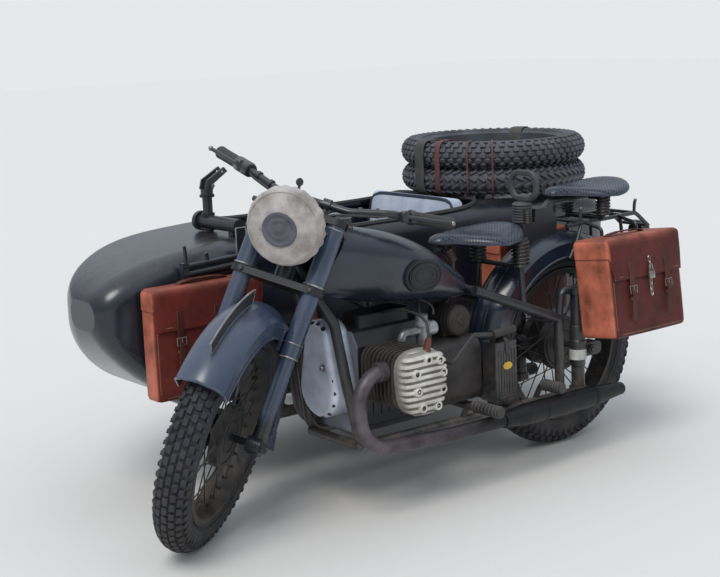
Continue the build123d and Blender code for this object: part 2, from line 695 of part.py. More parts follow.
# Leather bags, each a body and a flap lid: two beside the rear wheel, one on the sidecar's inner side
PANNIERS = (
    # middle x, inner y, foot z, long, deep, tall, tilt about x
    (-88.0, 192.0, 398.0, 345.0, 160.0, 320.0, 7.0),
    (-88.0, -182.0, 398.0, 345.0, -110.0, 300.0, -2.0),
)
SIDECAR_BAG = (1202.0, -331.0, 356.0, 390.0, 78.0, 338.0, 0.0)


def bag(x, y, z, long, deep, tall, tilt):
    with BuildPart() as pouch:
        with BuildSketch(tipped(side(y, x, z), tilt)):
            with Locations((0, tall / 2)):
                RectangleRounded(long, tall, 16)
        extrude(amount=-deep)
        fillet(pouch.faces().sort_by(Axis.Y)[-1 if deep > 0 else 0].edges(), 10)
    return pouch.part


with BuildPart() as panniers:
    for sizes in PANNIERS:
        add(bag(*sizes))
panniers.part.label = "panniers"
export_step(panniers.part, "parts/panniers.step")

with BuildPart() as sidecar_bag:
    add(bag(*SIDECAR_BAG))
sidecar_bag.part.label = "sidecar_bag"
export_step(sidecar_bag.part, "parts/sidecar_bag.step")

# Sidecar body: a boat-shaped shell, hollow for the passenger and for the boot behind the seat
WALL = 10.0
BODY_SECTIONS = [
    # x, inner side y, outer side y, floor z, top z, corner radius
    (-640.0, -372.0, -868.0, 372.0, 745.0, 70.0),
    (-540.0, -345.0, -893.0, 300.0, 785.0, 74.0),
    (-250.0, -336.0, -902.0, 262.0, 796.0, 76.0),
    (300.0, -336.0, -904.0, 250.0, 792.0, 78.0),
    (850.0, -336.0, -892.0, 252.0, 792.0, 80.0),
    (988.0, -336.0, -880.0, 263.0, 788.0, 80.0),
    (1180.0, -337.0, -850.0, 296.0, 776.0, 80.0),
    (1370.0, -342.0, -748.0, 396.0, 742.0, 76.0),
    (1465.0, -358.0, -650.0, 488.0, 704.0, 66.0),
    (1510.0, -402.0, -548.0, 566.0, 656.0, 40.0),
]
COCKPIT = (-40.0, 860.0)
COCKPIT_INSET = 28.0
BULKHEAD_X = -92.0
HATCH = (330.0, 250.0)
HATCH_Z = 545.0
TAIL_X = BODY_SECTIONS[0][0]
BODY_Y = (BODY_SECTIONS[0][1] + BODY_SECTIONS[0][2]) / 2
LID_GAP = 5.5
HINGE_R = 6.0
hinge_z = HATCH_Z - HATCH[1] / 2 - 16.0
hinge_x = TAIL_X - HINGE_R - 1.0
SPARE_X = -318.0
SPARE_Y = -622.0
DECK_Z = 797.0


def body_loft(inset, end_inset):
    for x, inner, outer, low, high, corner in BODY_SECTIONS:
        shift = end_inset if x == TAIL_X else -end_inset if x == BODY_SECTIONS[-1][0] else 0
        with BuildSketch(across(x + shift, (inner + outer) / 2, (low + high) / 2)) as section:
            RectangleRounded(inner - outer - 2 * inset, high - low - 2 * inset, corner - inset)
        yield section.sketch


with BuildPart() as cavity:
    loft(list(body_loft(WALL, WALL)))
    with BuildSketch(across(BULKHEAD_X, BODY_Y, 500)):
        Rectangle(700, 700)
    extrude(amount=WALL, mode=Mode.SUBTRACT)

with BuildPart() as sidecar_body:
    loft(list(body_loft(0, 0)))
    add(cavity.part, mode=Mode.SUBTRACT)
    with BuildSketch(level(640, (COCKPIT[0] + COCKPIT[1]) / 2, BODY_Y)):
        RectangleRounded(COCKPIT[1] - COCKPIT[0], 560 - 2 * COCKPIT_INSET, 110)
    extrude(amount=260, mode=Mode.SUBTRACT)
    with BuildSketch(across(TAIL_X - 5, BODY_Y, HATCH_Z)):
        RectangleRounded(HATCH[0], HATCH[1], 30)
    extrude(amount=WALL + 20, mode=Mode.SUBTRACT)
    # the boot lid's hinge pin between its two lugs
    with BuildSketch(side(BODY_Y + 76, hinge_x, hinge_z)):
        Circle(3)
    extrude(amount=152)
    for y in (BODY_Y + 76, BODY_Y - 60.6):
        with BuildSketch(side(y, hinge_x, hinge_z)):
            Circle(HINGE_R)
            with Locations((6.5, 0)):
                Rectangle(2, 9)
        extrude(amount=15.4)
    # four rests for the spare tyres on the deck
    for reach in (220, -205):
        for hand in (1, -1):
            with BuildSketch(level(DECK_Z - 12, SPARE_X + reach, SPARE_Y + hand * 160)):
                Circle(18)
            extrude(amount=17)
sidecar_body.part.label = "sidecar_body"
export_step(sidecar_body.part, "parts/sidecar_body.step")

# Boot lid in the tail, hinged along its lower edge
with BuildPart() as boot_lid:
    with BuildSketch(across(TAIL_X, BODY_Y, HATCH_Z)):
        RectangleRounded(HATCH[0] - 2 * LID_GAP, HATCH[1] - 2 * LID_GAP, 30 - LID_GAP)
    extrude(amount=WALL)
    with BuildSketch(across(TAIL_X - 0.5, BODY_Y, HATCH_Z)):
        RectangleRounded(HATCH[0] + 16, HATCH[1] + 16, 34)
    extrude(amount=-4)
    with BuildSketch(across(TAIL_X, BODY_Y, HATCH_Z)):
        Rectangle(HATCH[0] - 60, HATCH[1] - 60)
    extrude(amount=-1)
    with BuildSketch(across(TAIL_X - 4, BODY_Y, HATCH_Z + 70)):
        SlotOverall(90, 16)
    extrude(amount=-14)
    with BuildSketch(side(BODY_Y + 60, hinge_x, hinge_z)):
        Circle(HINGE_R)
        with Locations((1, 7)):
            Rectangle(6, 14)
    extrude(amount=120)
    with BuildSketch(side(BODY_Y + 60, hinge_x, hinge_z)):
        Circle(3.05)
    extrude(amount=120, mode=Mode.SUBTRACT)
boot_lid.part.label = "boot_lid"
export_step(boot_lid.part, "parts/boot_lid.step")

# Passenger's seat in the sidecar: a cushion and a raised, raked back
SEAT_WIDTH = 480.0
with BuildPart() as sidecar_seat:
    with BuildSketch(level(330, 330, BODY_Y)):
        RectangleRounded(400, SEAT_WIDTH, 50)
    extrude(amount=130)
    fillet(sidecar_seat.faces().sort_by(Axis.Z)[-1].edges(), 30)
    # the seat's box, on a bearer where the floor is lowest
    with BuildSketch(level(268, 330, BODY_Y)):
        Rectangle(360, 380)
    extrude(amount=62)
    with BuildSketch(level(260 + SEAT_GAP, 300, BODY_Y)):
        Rectangle(16, 380)
    extrude(amount=8)
    back_plane = Plane((AXLE_X + 161.3, LINE_Y + BODY_Y, 462.0), x_dir=(0, 1, 0), z_dir=(0.985, 0, 0.174))
    with BuildSketch(back_plane):
        with Locations((0, 182)):
            RectangleRounded(SEAT_WIDTH, 364, 60)
    extrude(amount=-52)
    fillet(sidecar_seat.faces().filter_by(Axis(back_plane.origin, back_plane.z_dir))[-1:].edges(), 20)
sidecar_seat.part.label = "sidecar_seat"
export_step(sidecar_seat.part, "parts/sidecar_seat.step")

# Sidecar chassis: two rails and cross tubes under the body, the wheel's stub axle, and four struts
# to the motorcycle
CHASSIS_Z = 205.0
CHASSIS_R = 18.0
CHASSIS_IN = -372.0
CHASSIS_OUT = -830.0
STRUT_R = 15.0
POSTS = ((-250.0, 262.0), (300.0, 250.0), (850.0, 252.0))
with BuildPart() as chassis:
    for y in (CHASSIS_IN, CHASSIS_OUT):
        tube([(-320, y, CHASSIS_Z), (1060, y, CHASSIS_Z)], CHASSIS_R)
    for x, floor in POSTS:
        tube([(x, CHASSIS_IN, CHASSIS_Z), (x, CHASSIS_OUT, CHASSIS_Z)], CHASSIS_R * 0.9)
        for y in (BODY_Y + 150, BODY_Y - 150):
            with BuildSketch(level(CHASSIS_Z, x, y)):
                Circle(14)
            extrude(amount=floor - 1.2 - CHASSIS_Z)
    tube([(1030, CHASSIS_IN, CHASSIS_Z), (1030, CHASSIS_OUT, CHASSIS_Z)], CHASSIS_R * 0.9)
    tube(
        [
            (SIDECAR_LEAD, CHASSIS_IN, CHASSIS_Z), (SIDECAR_LEAD, CHASSIS_OUT - 90, CHASSIS_Z),
            (SIDECAR_LEAD, CHASSIS_OUT - 140, TYRE_R), (SIDECAR_LEAD, -TRACK + 62, TYRE_R),
        ],
        CHASSIS_R * 0.95, 36,
    )
    tube([(SIDECAR_LEAD, -TRACK + 70, TYRE_R), (SIDECAR_LEAD, -TRACK - HUB_HALF - 18, TYRE_R)], AXLE_R)
    with BuildSketch(side(-TRACK - HUB_HALF - 5, SIDECAR_LEAD, TYRE_R)):
        RegularPolygon(17, 6)
    extrude(amount=10)
    # four struts to the motorcycle's frame, the lower two to its rail, which widens to the rear
    for x in (150.0, 740.0):
        share = (DOWN_X - 35 - x) / (DOWN_X - 35 - PLUNGER_X)
        rail_y = RAIL_Y + (PLUNGER_Y - RAIL_Y) * share
        rail_z = RAIL_Z + (PLUNGER_LOW - TUBE_R - 1 - RAIL_Z) * share
        tube(
            [(x, CHASSIS_IN, CHASSIS_Z), (x, CHASSIS_IN + 52, 160.0), (x, -rail_y - 56, rail_z - 56),
             (x, -rail_y, rail_z)],
            STRUT_R, 30,
        )
    for start, end in (
        ((DOWN_X + 4, -92, 480), (1030, CHASSIS_IN, CHASSIS_Z)),
        ((SEAT_LUG_X - 60, -98, 574), (330, CHASSIS_IN, CHASSIS_Z)),
    ):
        tube([start, end], STRUT_R)
    add(frame.part, mode=Mode.SUBTRACT)
chassis.part.label = "chassis"
export_step(chassis.part, "parts/chassis.step")

# Sidecar mudguard on its two stays
with BuildPart() as sidecar_guard:
    guard(side(-TRACK, SIDECAR_LEAD, TYRE_R), 12.0, 160.0, half=76.0, skirt=290.0)
    for x in (-90, 90):
        with BuildSketch(side(-TRACK + 74, SIDECAR_LEAD + x, TYRE_R + 300)):
            Rectangle(34, 20)
        extrude(amount=-(TRACK - 74 - 904.5))
sidecar_guard.part.label = "sidecar_guard"
export_step(sidecar_guard.part, "parts/sidecar_guard.step")

# Spare tyres strapped flat on the sidecar's tail
with BuildPart() as spare_tyres:
    for tier in (0, 1):
        spot = level(DECK_Z + 6 + TYRE_HALF + tier * (2 * TYRE_HALF + 1), SPARE_X, SPARE_Y)
        add(tyre.part.moved(spot.location))
spare_tyres.part.label = "spare_tyres"
export_step(spare_tyres.part, "parts/spare_tyres.step")

# Fittings on the sidecar's nose: a luggage bar on the inner edge, an upright plate, and a pivot post
# on a cross tube that carries a forked arm
POST_X = 988.0
POST_Y = -600.0
POST_TOP = 905.0
POST_DECK = 788.0
BAR_Y = -322.0
with BuildPart() as nose_fittings:
    tube([(POST_X, -400, 822), (POST_X, POST_Y - 12, 822)], 22)
    with BuildSketch(side(POST_Y - 12, POST_X, 822)):
        Circle(42 - 10)
    extrude(amount=16)
    tube([(POST_X, POST_Y + 22, 822), (POST_X, POST_Y + 22, POST_TOP)], 16)
    for y in (-440, -575):
        with BuildSketch(level(POST_DECK + 1.0, POST_X, y)):
            Circle(14)
        extrude(amount=30)
    with BuildSketch(side(-335.4, 1030, 765)):
        Rectangle(36, 128)
    extrude(amount=-6)
    for z in (720, 744):
        tube([(1010, BAR_Y, z + 4), (1250, BAR_Y, z - 8)], 8)
    for x in (1030, 1240):
        with BuildSketch(level(694 + SEAT_GAP, x, -325)):
            Rectangle(22, 20)
        extrude(amount=54)
nose_fittings.part.label = "nose_fittings"
export_step(nose_fittings.part, "parts/nose_fittings.step")

ARM_HOLE = (-52.0, 52.0)
ARM_HOLE_R = 4.0
with BuildPart() as pivot_arm:
    with BuildSketch(level(POST_TOP + SEAT_GAP, POST_X, POST_Y + 22)):
        Circle(20)
    extrude(amount=22)
    for y in (-20, 12):
        with BuildSketch(side(POST_Y + 22 - y, POST_X, POST_TOP + 22)):
            with BuildLine():
                Polyline((-14, 0), (16, 0), (8, 30), (-58, 66), (-70, 52), (-14, 16), close=True)
            make_face()
            with Locations(ARM_HOLE):
                Circle(ARM_HOLE_R, mode=Mode.SUBTRACT)
        extrude(amount=8)
pivot_arm.part.label = "pivot_arm"
export_step(pivot_arm.part, "parts/pivot_arm.step")

# Footrests
PEG_R = 17.0
PEGS = {
    # x, height, inner and outer end of the rubber
    "driver": (548.0, 264.0, 178.0, 292.0),
    "passenger": (228.0, 268.0, 158.0, 240.0),
}
KICK = [(606, 100, 405), (606, 150, 405), (520, 152, 478), (440, 152, 466)]
with BuildPart() as footrests:
    tube(KICK, 8, 14)
    tube([KICK[-1], (348, 152, 470)], 14)
    for hand in (1, -1):
        for x, z, inner, outer in PEGS.values():
            tube(
                [(x, hand * RAIL_Y, RAIL_Z), (x, hand * (RAIL_Y + 26), z - 8), (x, hand * inner, z),
                 (x - 6, hand * outer, z)],
                9, 14,
            )
            tube([(x, hand * inner, z), (x - 6, hand * outer, z)], PEG_R)
    add(frame.part, mode=Mode.SUBTRACT)
footrests.part.label = "footrests"
export_step(footrests.part, "parts/footrests.step")

# Steering group, in the fork's own frame
FRONT_AXLE_Y = LEG_Y + 38.0
STEM_TOP = HEAD_HIGH + YOKE_GAP + YOKE_T + 16.0
with BuildPart() as fork_legs:
    for hand in (1, -1):
        leg_plane = fork_side(hand * LEG_Y, LEG_X, 0)
        with BuildSketch(leg_plane) as profile:
            with BuildLine():
                Polyline(
                    (0, -26), (SLIDER_R, -26), (SLIDER_R, RING_Z), (TUBE_LOWER_R, RING_Z + 4),
                    (TUBE_LOWER_R, COLLAR_Z - 8), (SHROUD_R + 2, COLLAR_Z - 8), (SHROUD_R + 2, COLLAR_Z),
                    (SHROUD_R, COLLAR_Z), (SHROUD_R, HEAD_HIGH + YOKE_GAP), (0, HEAD_HIGH + YOKE_GAP),
                    close=True,
                )
            make_face()
        revolve(axis=Axis(leg_plane.origin, FORK.z_dir))
        with BuildSketch(fork_side(hand * LEG_Y, HUB_OFFSET, 0)):
            RectangleRounded(56, 46, 20)
        extrude(amount=20, both=True)
        with BuildSketch(fork_side(hand * (LEG_Y + 27), HUB_OFFSET, 0)):
            RegularPolygon(17, 6)
        extrude(amount=8, both=True)
    with BuildSketch(fork_side(FRONT_AXLE_Y, HUB_OFFSET, 0)):
        Circle(AXLE_R)
    extrude(amount=2 * FRONT_AXLE_Y)
fork_legs.part.label = "fork_legs"
export_step(fork_legs.part, "parts/fork_legs.step")

with BuildPart() as yokes:
    for z, reach in ((HEAD_LOW - YOKE_GAP - YOKE_T, SHROUD_R + 6), (HEAD_HIGH + YOKE_GAP, SHROUD_R + 4)):
        with BuildSketch(fork_level(z)) as plate:
            with Locations((0, 0)):
                Circle(38)
            with Locations((LEG_X, LEG_Y), (LEG_X, -LEG_Y)):
                Circle(reach)
            make_hull()
            if z < HEAD_HIGH:
                with Locations((LEG_X, LEG_Y), (LEG_X, -LEG_Y)):
                    Circle(TUBE_LOWER_R, mode=Mode.SUBTRACT)
        extrude(amount=YOKE_T)
    with BuildSketch(fork_level(HEAD_LOW - YOKE_GAP - YOKE_T)):
        Circle(STEM_R)
    extrude(amount=STEM_TOP - HEAD_LOW + YOKE_GAP + YOKE_T)
    with BuildSketch(fork_level(STEM_TOP)):
        RegularPolygon(20, 6)
    extrude(amount=10)
yokes.part.label = "yokes"
export_step(yokes.part, "parts/yokes.step")

with BuildPart() as front_guard:
    guard(fork_side(0, HUB_OFFSET, 0), 16.0, 156.0, half=68.0, skirt=298.0)
    with BuildSketch(turned(fork_side(0, HUB_OFFSET, 0), 171.5)):
        Polygon((GUARD_R - 5, -2), (GUARD_R, -2), (GUARD_R + 34, 62), (GUARD_R + 29, 62), align=None)
    extrude(amount=62, both=True)
    for hand in (1, -1):
        with BuildSketch(fork_side(hand * 68, LEG_X, 300)):
            RectangleRounded(40, 60, 6)
        extrude(amount=-hand * (LEG_Y - 68 - TUBE_LOWER_R - SEAT_GAP))
front_guard.part.label = "front_guard"
export_step(front_guard.part, "parts/front_guard.step")

PLATE_ARC = (29.0, 39.0)
PLATE_TALL = 44.0
with BuildPart() as number_plate:
    plate_plane = turned(fork_side(0, HUB_OFFSET, 0), PLATE_ARC[0])
    with BuildSketch(Plane(plate_plane.origin, x_dir=plate_plane.x_dir, z_dir=-plate_plane.y_dir)) as strip:
        with Locations((GUARD_R + SEAT_GAP + PLATE_TALL / 2, 0)):
            Rectangle(PLATE_TALL, 4)
    revolve(axis=Axis(plate_plane.origin, plate_plane.z_dir), revolution_arc=PLATE_ARC[1])
number_plate.part.label = "number_plate"
export_step(number_plate.part, "parts/number_plate.step")

# Handlebar on two risers with its levers, and its grips
BAR_R = 11.0
BAR = [(-176, 367, 801), (-40, 220, 752), (-15, 110, 716), (-15, -110, 716), (-40, -220, 752), (-176, -367, 801)]
BAR_CLAMP_Y = 42.0
LEVER_AT = 150.0
yoke_top = HEAD_HIGH + YOKE_GAP + YOKE_T
with BuildPart() as handlebar:
    tube(BAR, BAR_R, 60.0, FORK)
    for hand in (1, -1):
        with BuildSketch(fork_level(yoke_top, -15, hand * BAR_CLAMP_Y)):
            Circle(13)
        extrude(amount=716 - yoke_top)
        with BuildSketch(fork_side(hand * BAR_CLAMP_Y, -15, 716)):
            Circle(19)
        extrude(amount=12, both=True)
        outer = Vector(BAR[0][0], hand * BAR[0][1], BAR[0][2])
        inner = Vector(BAR[1][0], hand * BAR[1][1], BAR[1][2])
        clamp = outer + (inner - outer).normalized() * LEVER_AT
        pivot = (clamp.X + 30, clamp.Y, clamp.Z - 8)
        tube([tuple(clamp), pivot], 8, plane=FORK)
        tube([pivot, tuple(outer + Vector(52, hand * 22, -6))], 6, plane=FORK)
handlebar.part.label = "handlebar"
export_step(handlebar.part, "parts/handlebar.step")

with BuildPart() as grips:
    for hand in (1, -1):
        outer = Vector(*FORK.from_local_coords((BAR[0][0], hand * BAR[0][1], BAR[0][2])))
        inner = Vector(*FORK.from_local_coords((BAR[1][0], hand * BAR[1][1], BAR[1][2])))
        along = (inner - outer).normalized()
        grip_plane = Plane(outer - along * 6, z_dir=along)
        with BuildSketch(grip_plane):
            Circle(16)
            Circle(BAR_R, mode=Mode.SUBTRACT)
        extrude(amount=128)
        with BuildSketch(grip_plane):
            Circle(16)
        extrude(amount=-8)
grips.part.label = "grips"
export_step(grips.part, "parts/grips.step")

# Headlamp between the fork legs, its front under a canvas cover
LAMP = (190.0, 0.0, 583.0)
LAMP_R = 92.0
BOWL_R = 100.0
BOWL_DEPTH = 70.0
COVER_R = 112.0
COVER_T = 44.0
ahead = (FORK.x_dir * cos(radians(RAKE)) - FORK.z_dir * sin(radians(RAKE))).normalized()
lamp_front = Plane(FORK.from_local_coords(LAMP), x_dir=FORK.y_dir, z_dir=ahead)
# the bowl's round back is part of a ball centred on the lamp's axis
bowl_z = COVER_T + BOWL_DEPTH - BOWL_R
bowl_half = asin((LAMP_R - 4) / BOWL_R)
with BuildPart() as lamp_bowl:
    with BuildSketch(Plane.XZ):
        with BuildLine():
            Line((0, -COVER_T - SEAT_GAP), (LAMP_R, -COVER_T - SEAT_GAP))
            Line((LAMP_R, -COVER_T - SEAT_GAP), (BOWL_R * sin(bowl_half), -bowl_z - BOWL_R * cos(bowl_half)))
            ThreePointArc(
                (BOWL_R * sin(bowl_half), -bowl_z - BOWL_R * cos(bowl_half)),
                (BOWL_R * sin(bowl_half / 2), -bowl_z - BOWL_R * cos(bowl_half / 2)),
                (0, -bowl_z - BOWL_R),
            )
            Line((0, -bowl_z - BOWL_R), (0, -COVER_T - SEAT_GAP))
        make_face()
    revolve(axis=Axis.Z)
with BuildPart() as headlamp:
    add(lamp_bowl.part.moved(lamp_front.location))
    for hand in (1, -1):
        tube([(118, hand * 70, 622), (66, hand * 104, 622)], 9, plane=FORK)
    add(fork_legs.part, mode=Mode.SUBTRACT)
headlamp.part.label = "headlamp"
export_step(headlamp.part, "parts/headlamp.step")

with BuildPart() as lamp_cover:
    with BuildSketch(lamp_front):
        Circle(COVER_R)
    extrude(amount=-COVER_T)
    fillet(lamp_cover.faces().sort_by(Axis(lamp_front.origin, lamp_front.z_dir))[-1].edges(), 18)
lamp_cover.part.label = "lamp_cover"
export_step(lamp_cover.part, "parts/lamp_cover.step")
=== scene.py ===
from math import atan2, copysign, cos, exp, hypot, pi, radians, sin, sqrt

import bpy
from mathutils import Matrix, Vector


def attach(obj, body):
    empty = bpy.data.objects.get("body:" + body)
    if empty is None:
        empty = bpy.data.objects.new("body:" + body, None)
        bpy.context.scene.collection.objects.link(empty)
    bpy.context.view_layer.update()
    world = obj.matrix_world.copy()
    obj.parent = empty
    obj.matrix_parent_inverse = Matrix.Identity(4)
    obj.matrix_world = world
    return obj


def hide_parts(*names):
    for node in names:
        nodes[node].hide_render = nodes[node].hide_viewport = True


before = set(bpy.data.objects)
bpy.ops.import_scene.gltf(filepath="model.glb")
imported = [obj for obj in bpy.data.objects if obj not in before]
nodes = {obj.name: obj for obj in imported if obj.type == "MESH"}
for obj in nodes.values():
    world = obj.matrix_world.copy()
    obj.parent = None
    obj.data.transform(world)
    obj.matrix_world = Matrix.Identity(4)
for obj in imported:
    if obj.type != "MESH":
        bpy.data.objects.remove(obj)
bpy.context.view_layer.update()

# The camera stands ahead of the outfit and to its left, a little above the handlebar, and looks down
# on it. Its place and its lens were worked out from the wheels and the fork.
CAMERA_AT, LENS_MM = (2.899, 3.705, 1.442), 70.96
yaw, pitch, roll = (radians(a) for a in (-128.15, 10.74, -2.24))
look = Vector((cos(yaw) * cos(pitch), sin(yaw) * cos(pitch), -sin(pitch)))
level_right = look.cross(Vector((0, 0, 1))).normalized()
level_up = level_right.cross(look)
right = level_right * cos(roll) + level_up * sin(roll)
up = level_up * cos(roll) - level_right * sin(roll)
bpy.ops.object.camera_add()
camera = bpy.context.object
camera.data.sensor_width = 36.0
camera.data.lens = LENS_MM
camera.data.clip_end = 200.0
camera.matrix_world = Matrix.Translation(CAMERA_AT) @ Matrix((right, up, -look)).transposed().to_4x4()
bpy.context.scene.camera = camera
bpy.context.scene.view_settings.view_transform = "Standard"


# A plain pale floor under soft daylight: one broad lamp high on the left, and a sky all round that
# darkens toward the ground. The camera sees an even pale backdrop in its place.
def node_in(tree, kind, values, **settings):
    """Adds a node with its inputs set or linked, and gives its outputs."""
    node = tree.nodes.new("ShaderNode" + kind)
    for key, value in settings.items():
        setattr(node, key, value)
    for key, value in values.items():
        if isinstance(value, bpy.types.NodeSocket):
            tree.links.new(value, node.inputs[key])
        else:
            node.inputs[key].default_value = value
    return node.outputs


def mixed(tree, share, first, second):
    return node_in(tree, "Mix", {0: share, 6: first, 7: second}, data_type="RGBA")[2]


def ranged(tree, value, low, high, start=0.0, end=1.0):
    return node_in(tree, "MapRange", {0: value, 1: low, 2: high, 3: start, 4: end})[0]


def worked(tree, how, first, second):
    return node_in(tree, "Math", {0: first, 1: second}, operation=how)[0]


def axes(tree, vector):
    """The X, Y and Z of a vector."""
    return node_in(tree, "SeparateXYZ", {0: vector})


GROUND_GLOW, SKY_GLOW, BACKDROP = (0.26, 0.27, 0.28, 1), (0.92, 1.02, 1.14, 1), (0.79, 0.81, 0.82, 1)
bpy.ops.mesh.primitive_plane_add(size=60)
floor = bpy.context.object
floor.name = "floor"
paper = bpy.data.materials.new("paper")
paper.use_nodes = True
paper.node_tree.nodes["Principled BSDF"].inputs["Base Color"].default_value = (0.70, 0.68, 0.65, 1)
paper.node_tree.nodes["Principled BSDF"].inputs["Roughness"].default_value = 0.9
floor.data.materials.append(paper)
world = bpy.data.worlds.new("studio")
bpy.context.scene.world = world
world.use_nodes = True
tree = world.node_tree
sky = tree.nodes["Background"]
sky.inputs["Strength"].default_value = 1.0
rise = axes(tree, node_in(tree, "TexCoord", {})["Generated"])[2]
tree.links.new(mixed(tree, ranged(tree, rise, -0.1, 0.95), GROUND_GLOW, SKY_GLOW), sky.inputs["Color"])
rays = node_in(tree, "LightPath", {})
plain = worked(tree, "MAXIMUM", rays["Is Camera Ray"], rays["Is Transmission Ray"])
pale = node_in(tree, "Background", {"Color": BACKDROP})[0]
seen = node_in(tree, "MixShader", {0: plain, 1: sky.outputs[0], 2: pale})[0]
tree.links.new(seen, tree.nodes["World Output"].inputs["Surface"])
bpy.ops.object.light_add(type="SUN", rotation=[radians(a) for a in (38, 8, 118)])
sun = bpy.context.object.data
sun.energy, sun.angle, sun.color = 1.5, radians(26), (1.0, 0.97, 0.93)

# Tyres of black rubber, all of one size, with square blocks across the tread. Each is a turned
# carcass with one row of blocks shaped at its top and repeated round it.
AXLE = Vector((-0.509, 0.428, 0.0))
RAKE = radians(28)
FORK = Matrix.Rotation(-RAKE, 4, "Y") @ Matrix.Rotation(radians(38.85), 4, "Z")
FORK.translation = (0.8220527, 0.428, 0.3034562)
HUB_UP, SIDECAR_AXLE = 0.345, (180, -1130, 345)
HUB_AHEAD = HUB_UP * sin(RAKE) - 0.095 * cos(RAKE)


def place_on(x, y, z):
    """A place on the outfit in millimetres from the rear axle's foot: ahead, to the left and up."""
    return AXLE + Vector((x, y, z)) / 1000


def moved(x, y, z):
    return Matrix.Translation((x, y, z))


def at(x, y, z):
    return Matrix.Translation(place_on(x, y, z))


def spun(degrees, axis):
    return Matrix.Rotation(radians(degrees), 4, axis)


def pick(*pieces):
    bpy.ops.object.select_all(action="DESELECT")
    for piece in pieces:
        piece.select_set(True)
    bpy.context.view_layer.objects.active = pieces[0]


def settle(piece, place=None):
    """Carries a piece from the bench to its place and applies that to its mesh."""
    if place is not None:
        piece.matrix_world = place @ piece.matrix_world
    pick(piece)
    bpy.ops.object.transform_apply(location=True, rotation=True, scale=True)
    return piece


def applied(piece, kind, **settings):
    """Adds a modifier to the piece and applies it."""
    pick(piece)
    modifier = piece.modifiers.new(kind.lower(), kind)
    for key, value in settings.items():
        setattr(modifier, key, value)
    bpy.ops.object.modifier_apply(modifier=modifier.name)
    return piece


def joined(pieces):
    pick(*pieces)
    if len(pieces) > 1:
        bpy.ops.object.join()
    return bpy.context.object


def repeated(piece, count, turn):
    """Repeats a piece round Z, each copy turned on from the one before."""
    bpy.ops.object.empty_add(rotation=(0, 0, turn))
    step = bpy.context.object
    applied(piece, "ARRAY", count=count, use_relative_offset=False, use_object_offset=True, offset_object=step)
    bpy.data.objects.remove(step)
    return piece


def handed_over(piece, name, body, material, replaces=(), smooth=40):
    """Names a finished piece, gives it its finish and puts it on its body."""
    piece.name = name
    piece.data.materials.clear()
    piece.data.materials.append(material)
    pick(piece)
    bpy.ops.object.shade_smooth_by_angle(angle=radians(smooth))
    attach(piece, body)
    if replaces:
        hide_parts(*replaces)
    return piece


def turned(points, steps=64):
    """A piece turned about Z, from its outline of radius and height in millimetres."""
    bpy.ops.mesh.primitive_plane_add(size=0.001)
    bpy.ops.object.mode_set(mode="EDIT")
    bpy.ops.mesh.select_all(action="SELECT")
    bpy.ops.mesh.merge(type="CENTER")
    bpy.ops.transform.translate(value=(points[0][0] / 1000, 0, points[0][1] / 1000))
    for (x0, z0), (x1, z1) in zip(points, points[1:]):
        bpy.ops.mesh.extrude_vertices_move(TRANSFORM_OT_translate={"value": ((x1 - x0) / 1000, 0, (z1 - z0) / 1000)})
    bpy.ops.mesh.select_all(action="SELECT")
    bpy.ops.mesh.spin(steps=steps, angle=2 * pi, center=(0, 0, 0), axis=(0, 0, 1))
    bpy.ops.mesh.select_all(action="SELECT")
    bpy.ops.mesh.remove_doubles(threshold=0.00005)
    bpy.ops.mesh.normals_make_consistent(inside=False)
    bpy.ops.object.mode_set(mode="OBJECT")
    return bpy.context.object


def cube(size, bevel=0.0, segments=1):
    """A block about the origin, its edges bevelled."""
    bpy.ops.mesh.primitive_cube_add(size=1)
    block = bpy.context.object
    block.scale = size
    settle(block)
    return applied(block, "BEVEL", width=bevel, segments=segments) if bevel else block


def hoop(radius, wire, steps=96, sides=8):
    """A ring of round wire about Z."""
    bpy.ops.mesh.primitive_torus_add(major_radius=radius, minor_radius=wire, major_segments=steps,
                                     minor_segments=sides)
    return bpy.context.object


def shade(red, green, blue):
    """A colour as the eye names it, on the shader's own scale."""
    shares = (c / 255 for c in (red, green, blue))
    return (*(s / 12.92 if s < 0.04045 else ((s + 0.055) / 1.055) ** 2.4 for s in shares), 1)


def spot_in(tree):
    return node_in(tree, "TexCoord", {})["Object"]


def facing_in(tree):
    """The X, Y and Z of the way that the surface faces."""
    return axes(tree, node_in(tree, "NewGeometry", {})["Normal"])


def noise(tree, spot, scale, detail, roughness=0.5):
    return node_in(tree, "TexNoise", {"Vector": spot, "Scale": scale, "Detail": detail, "Roughness": roughness})[0]


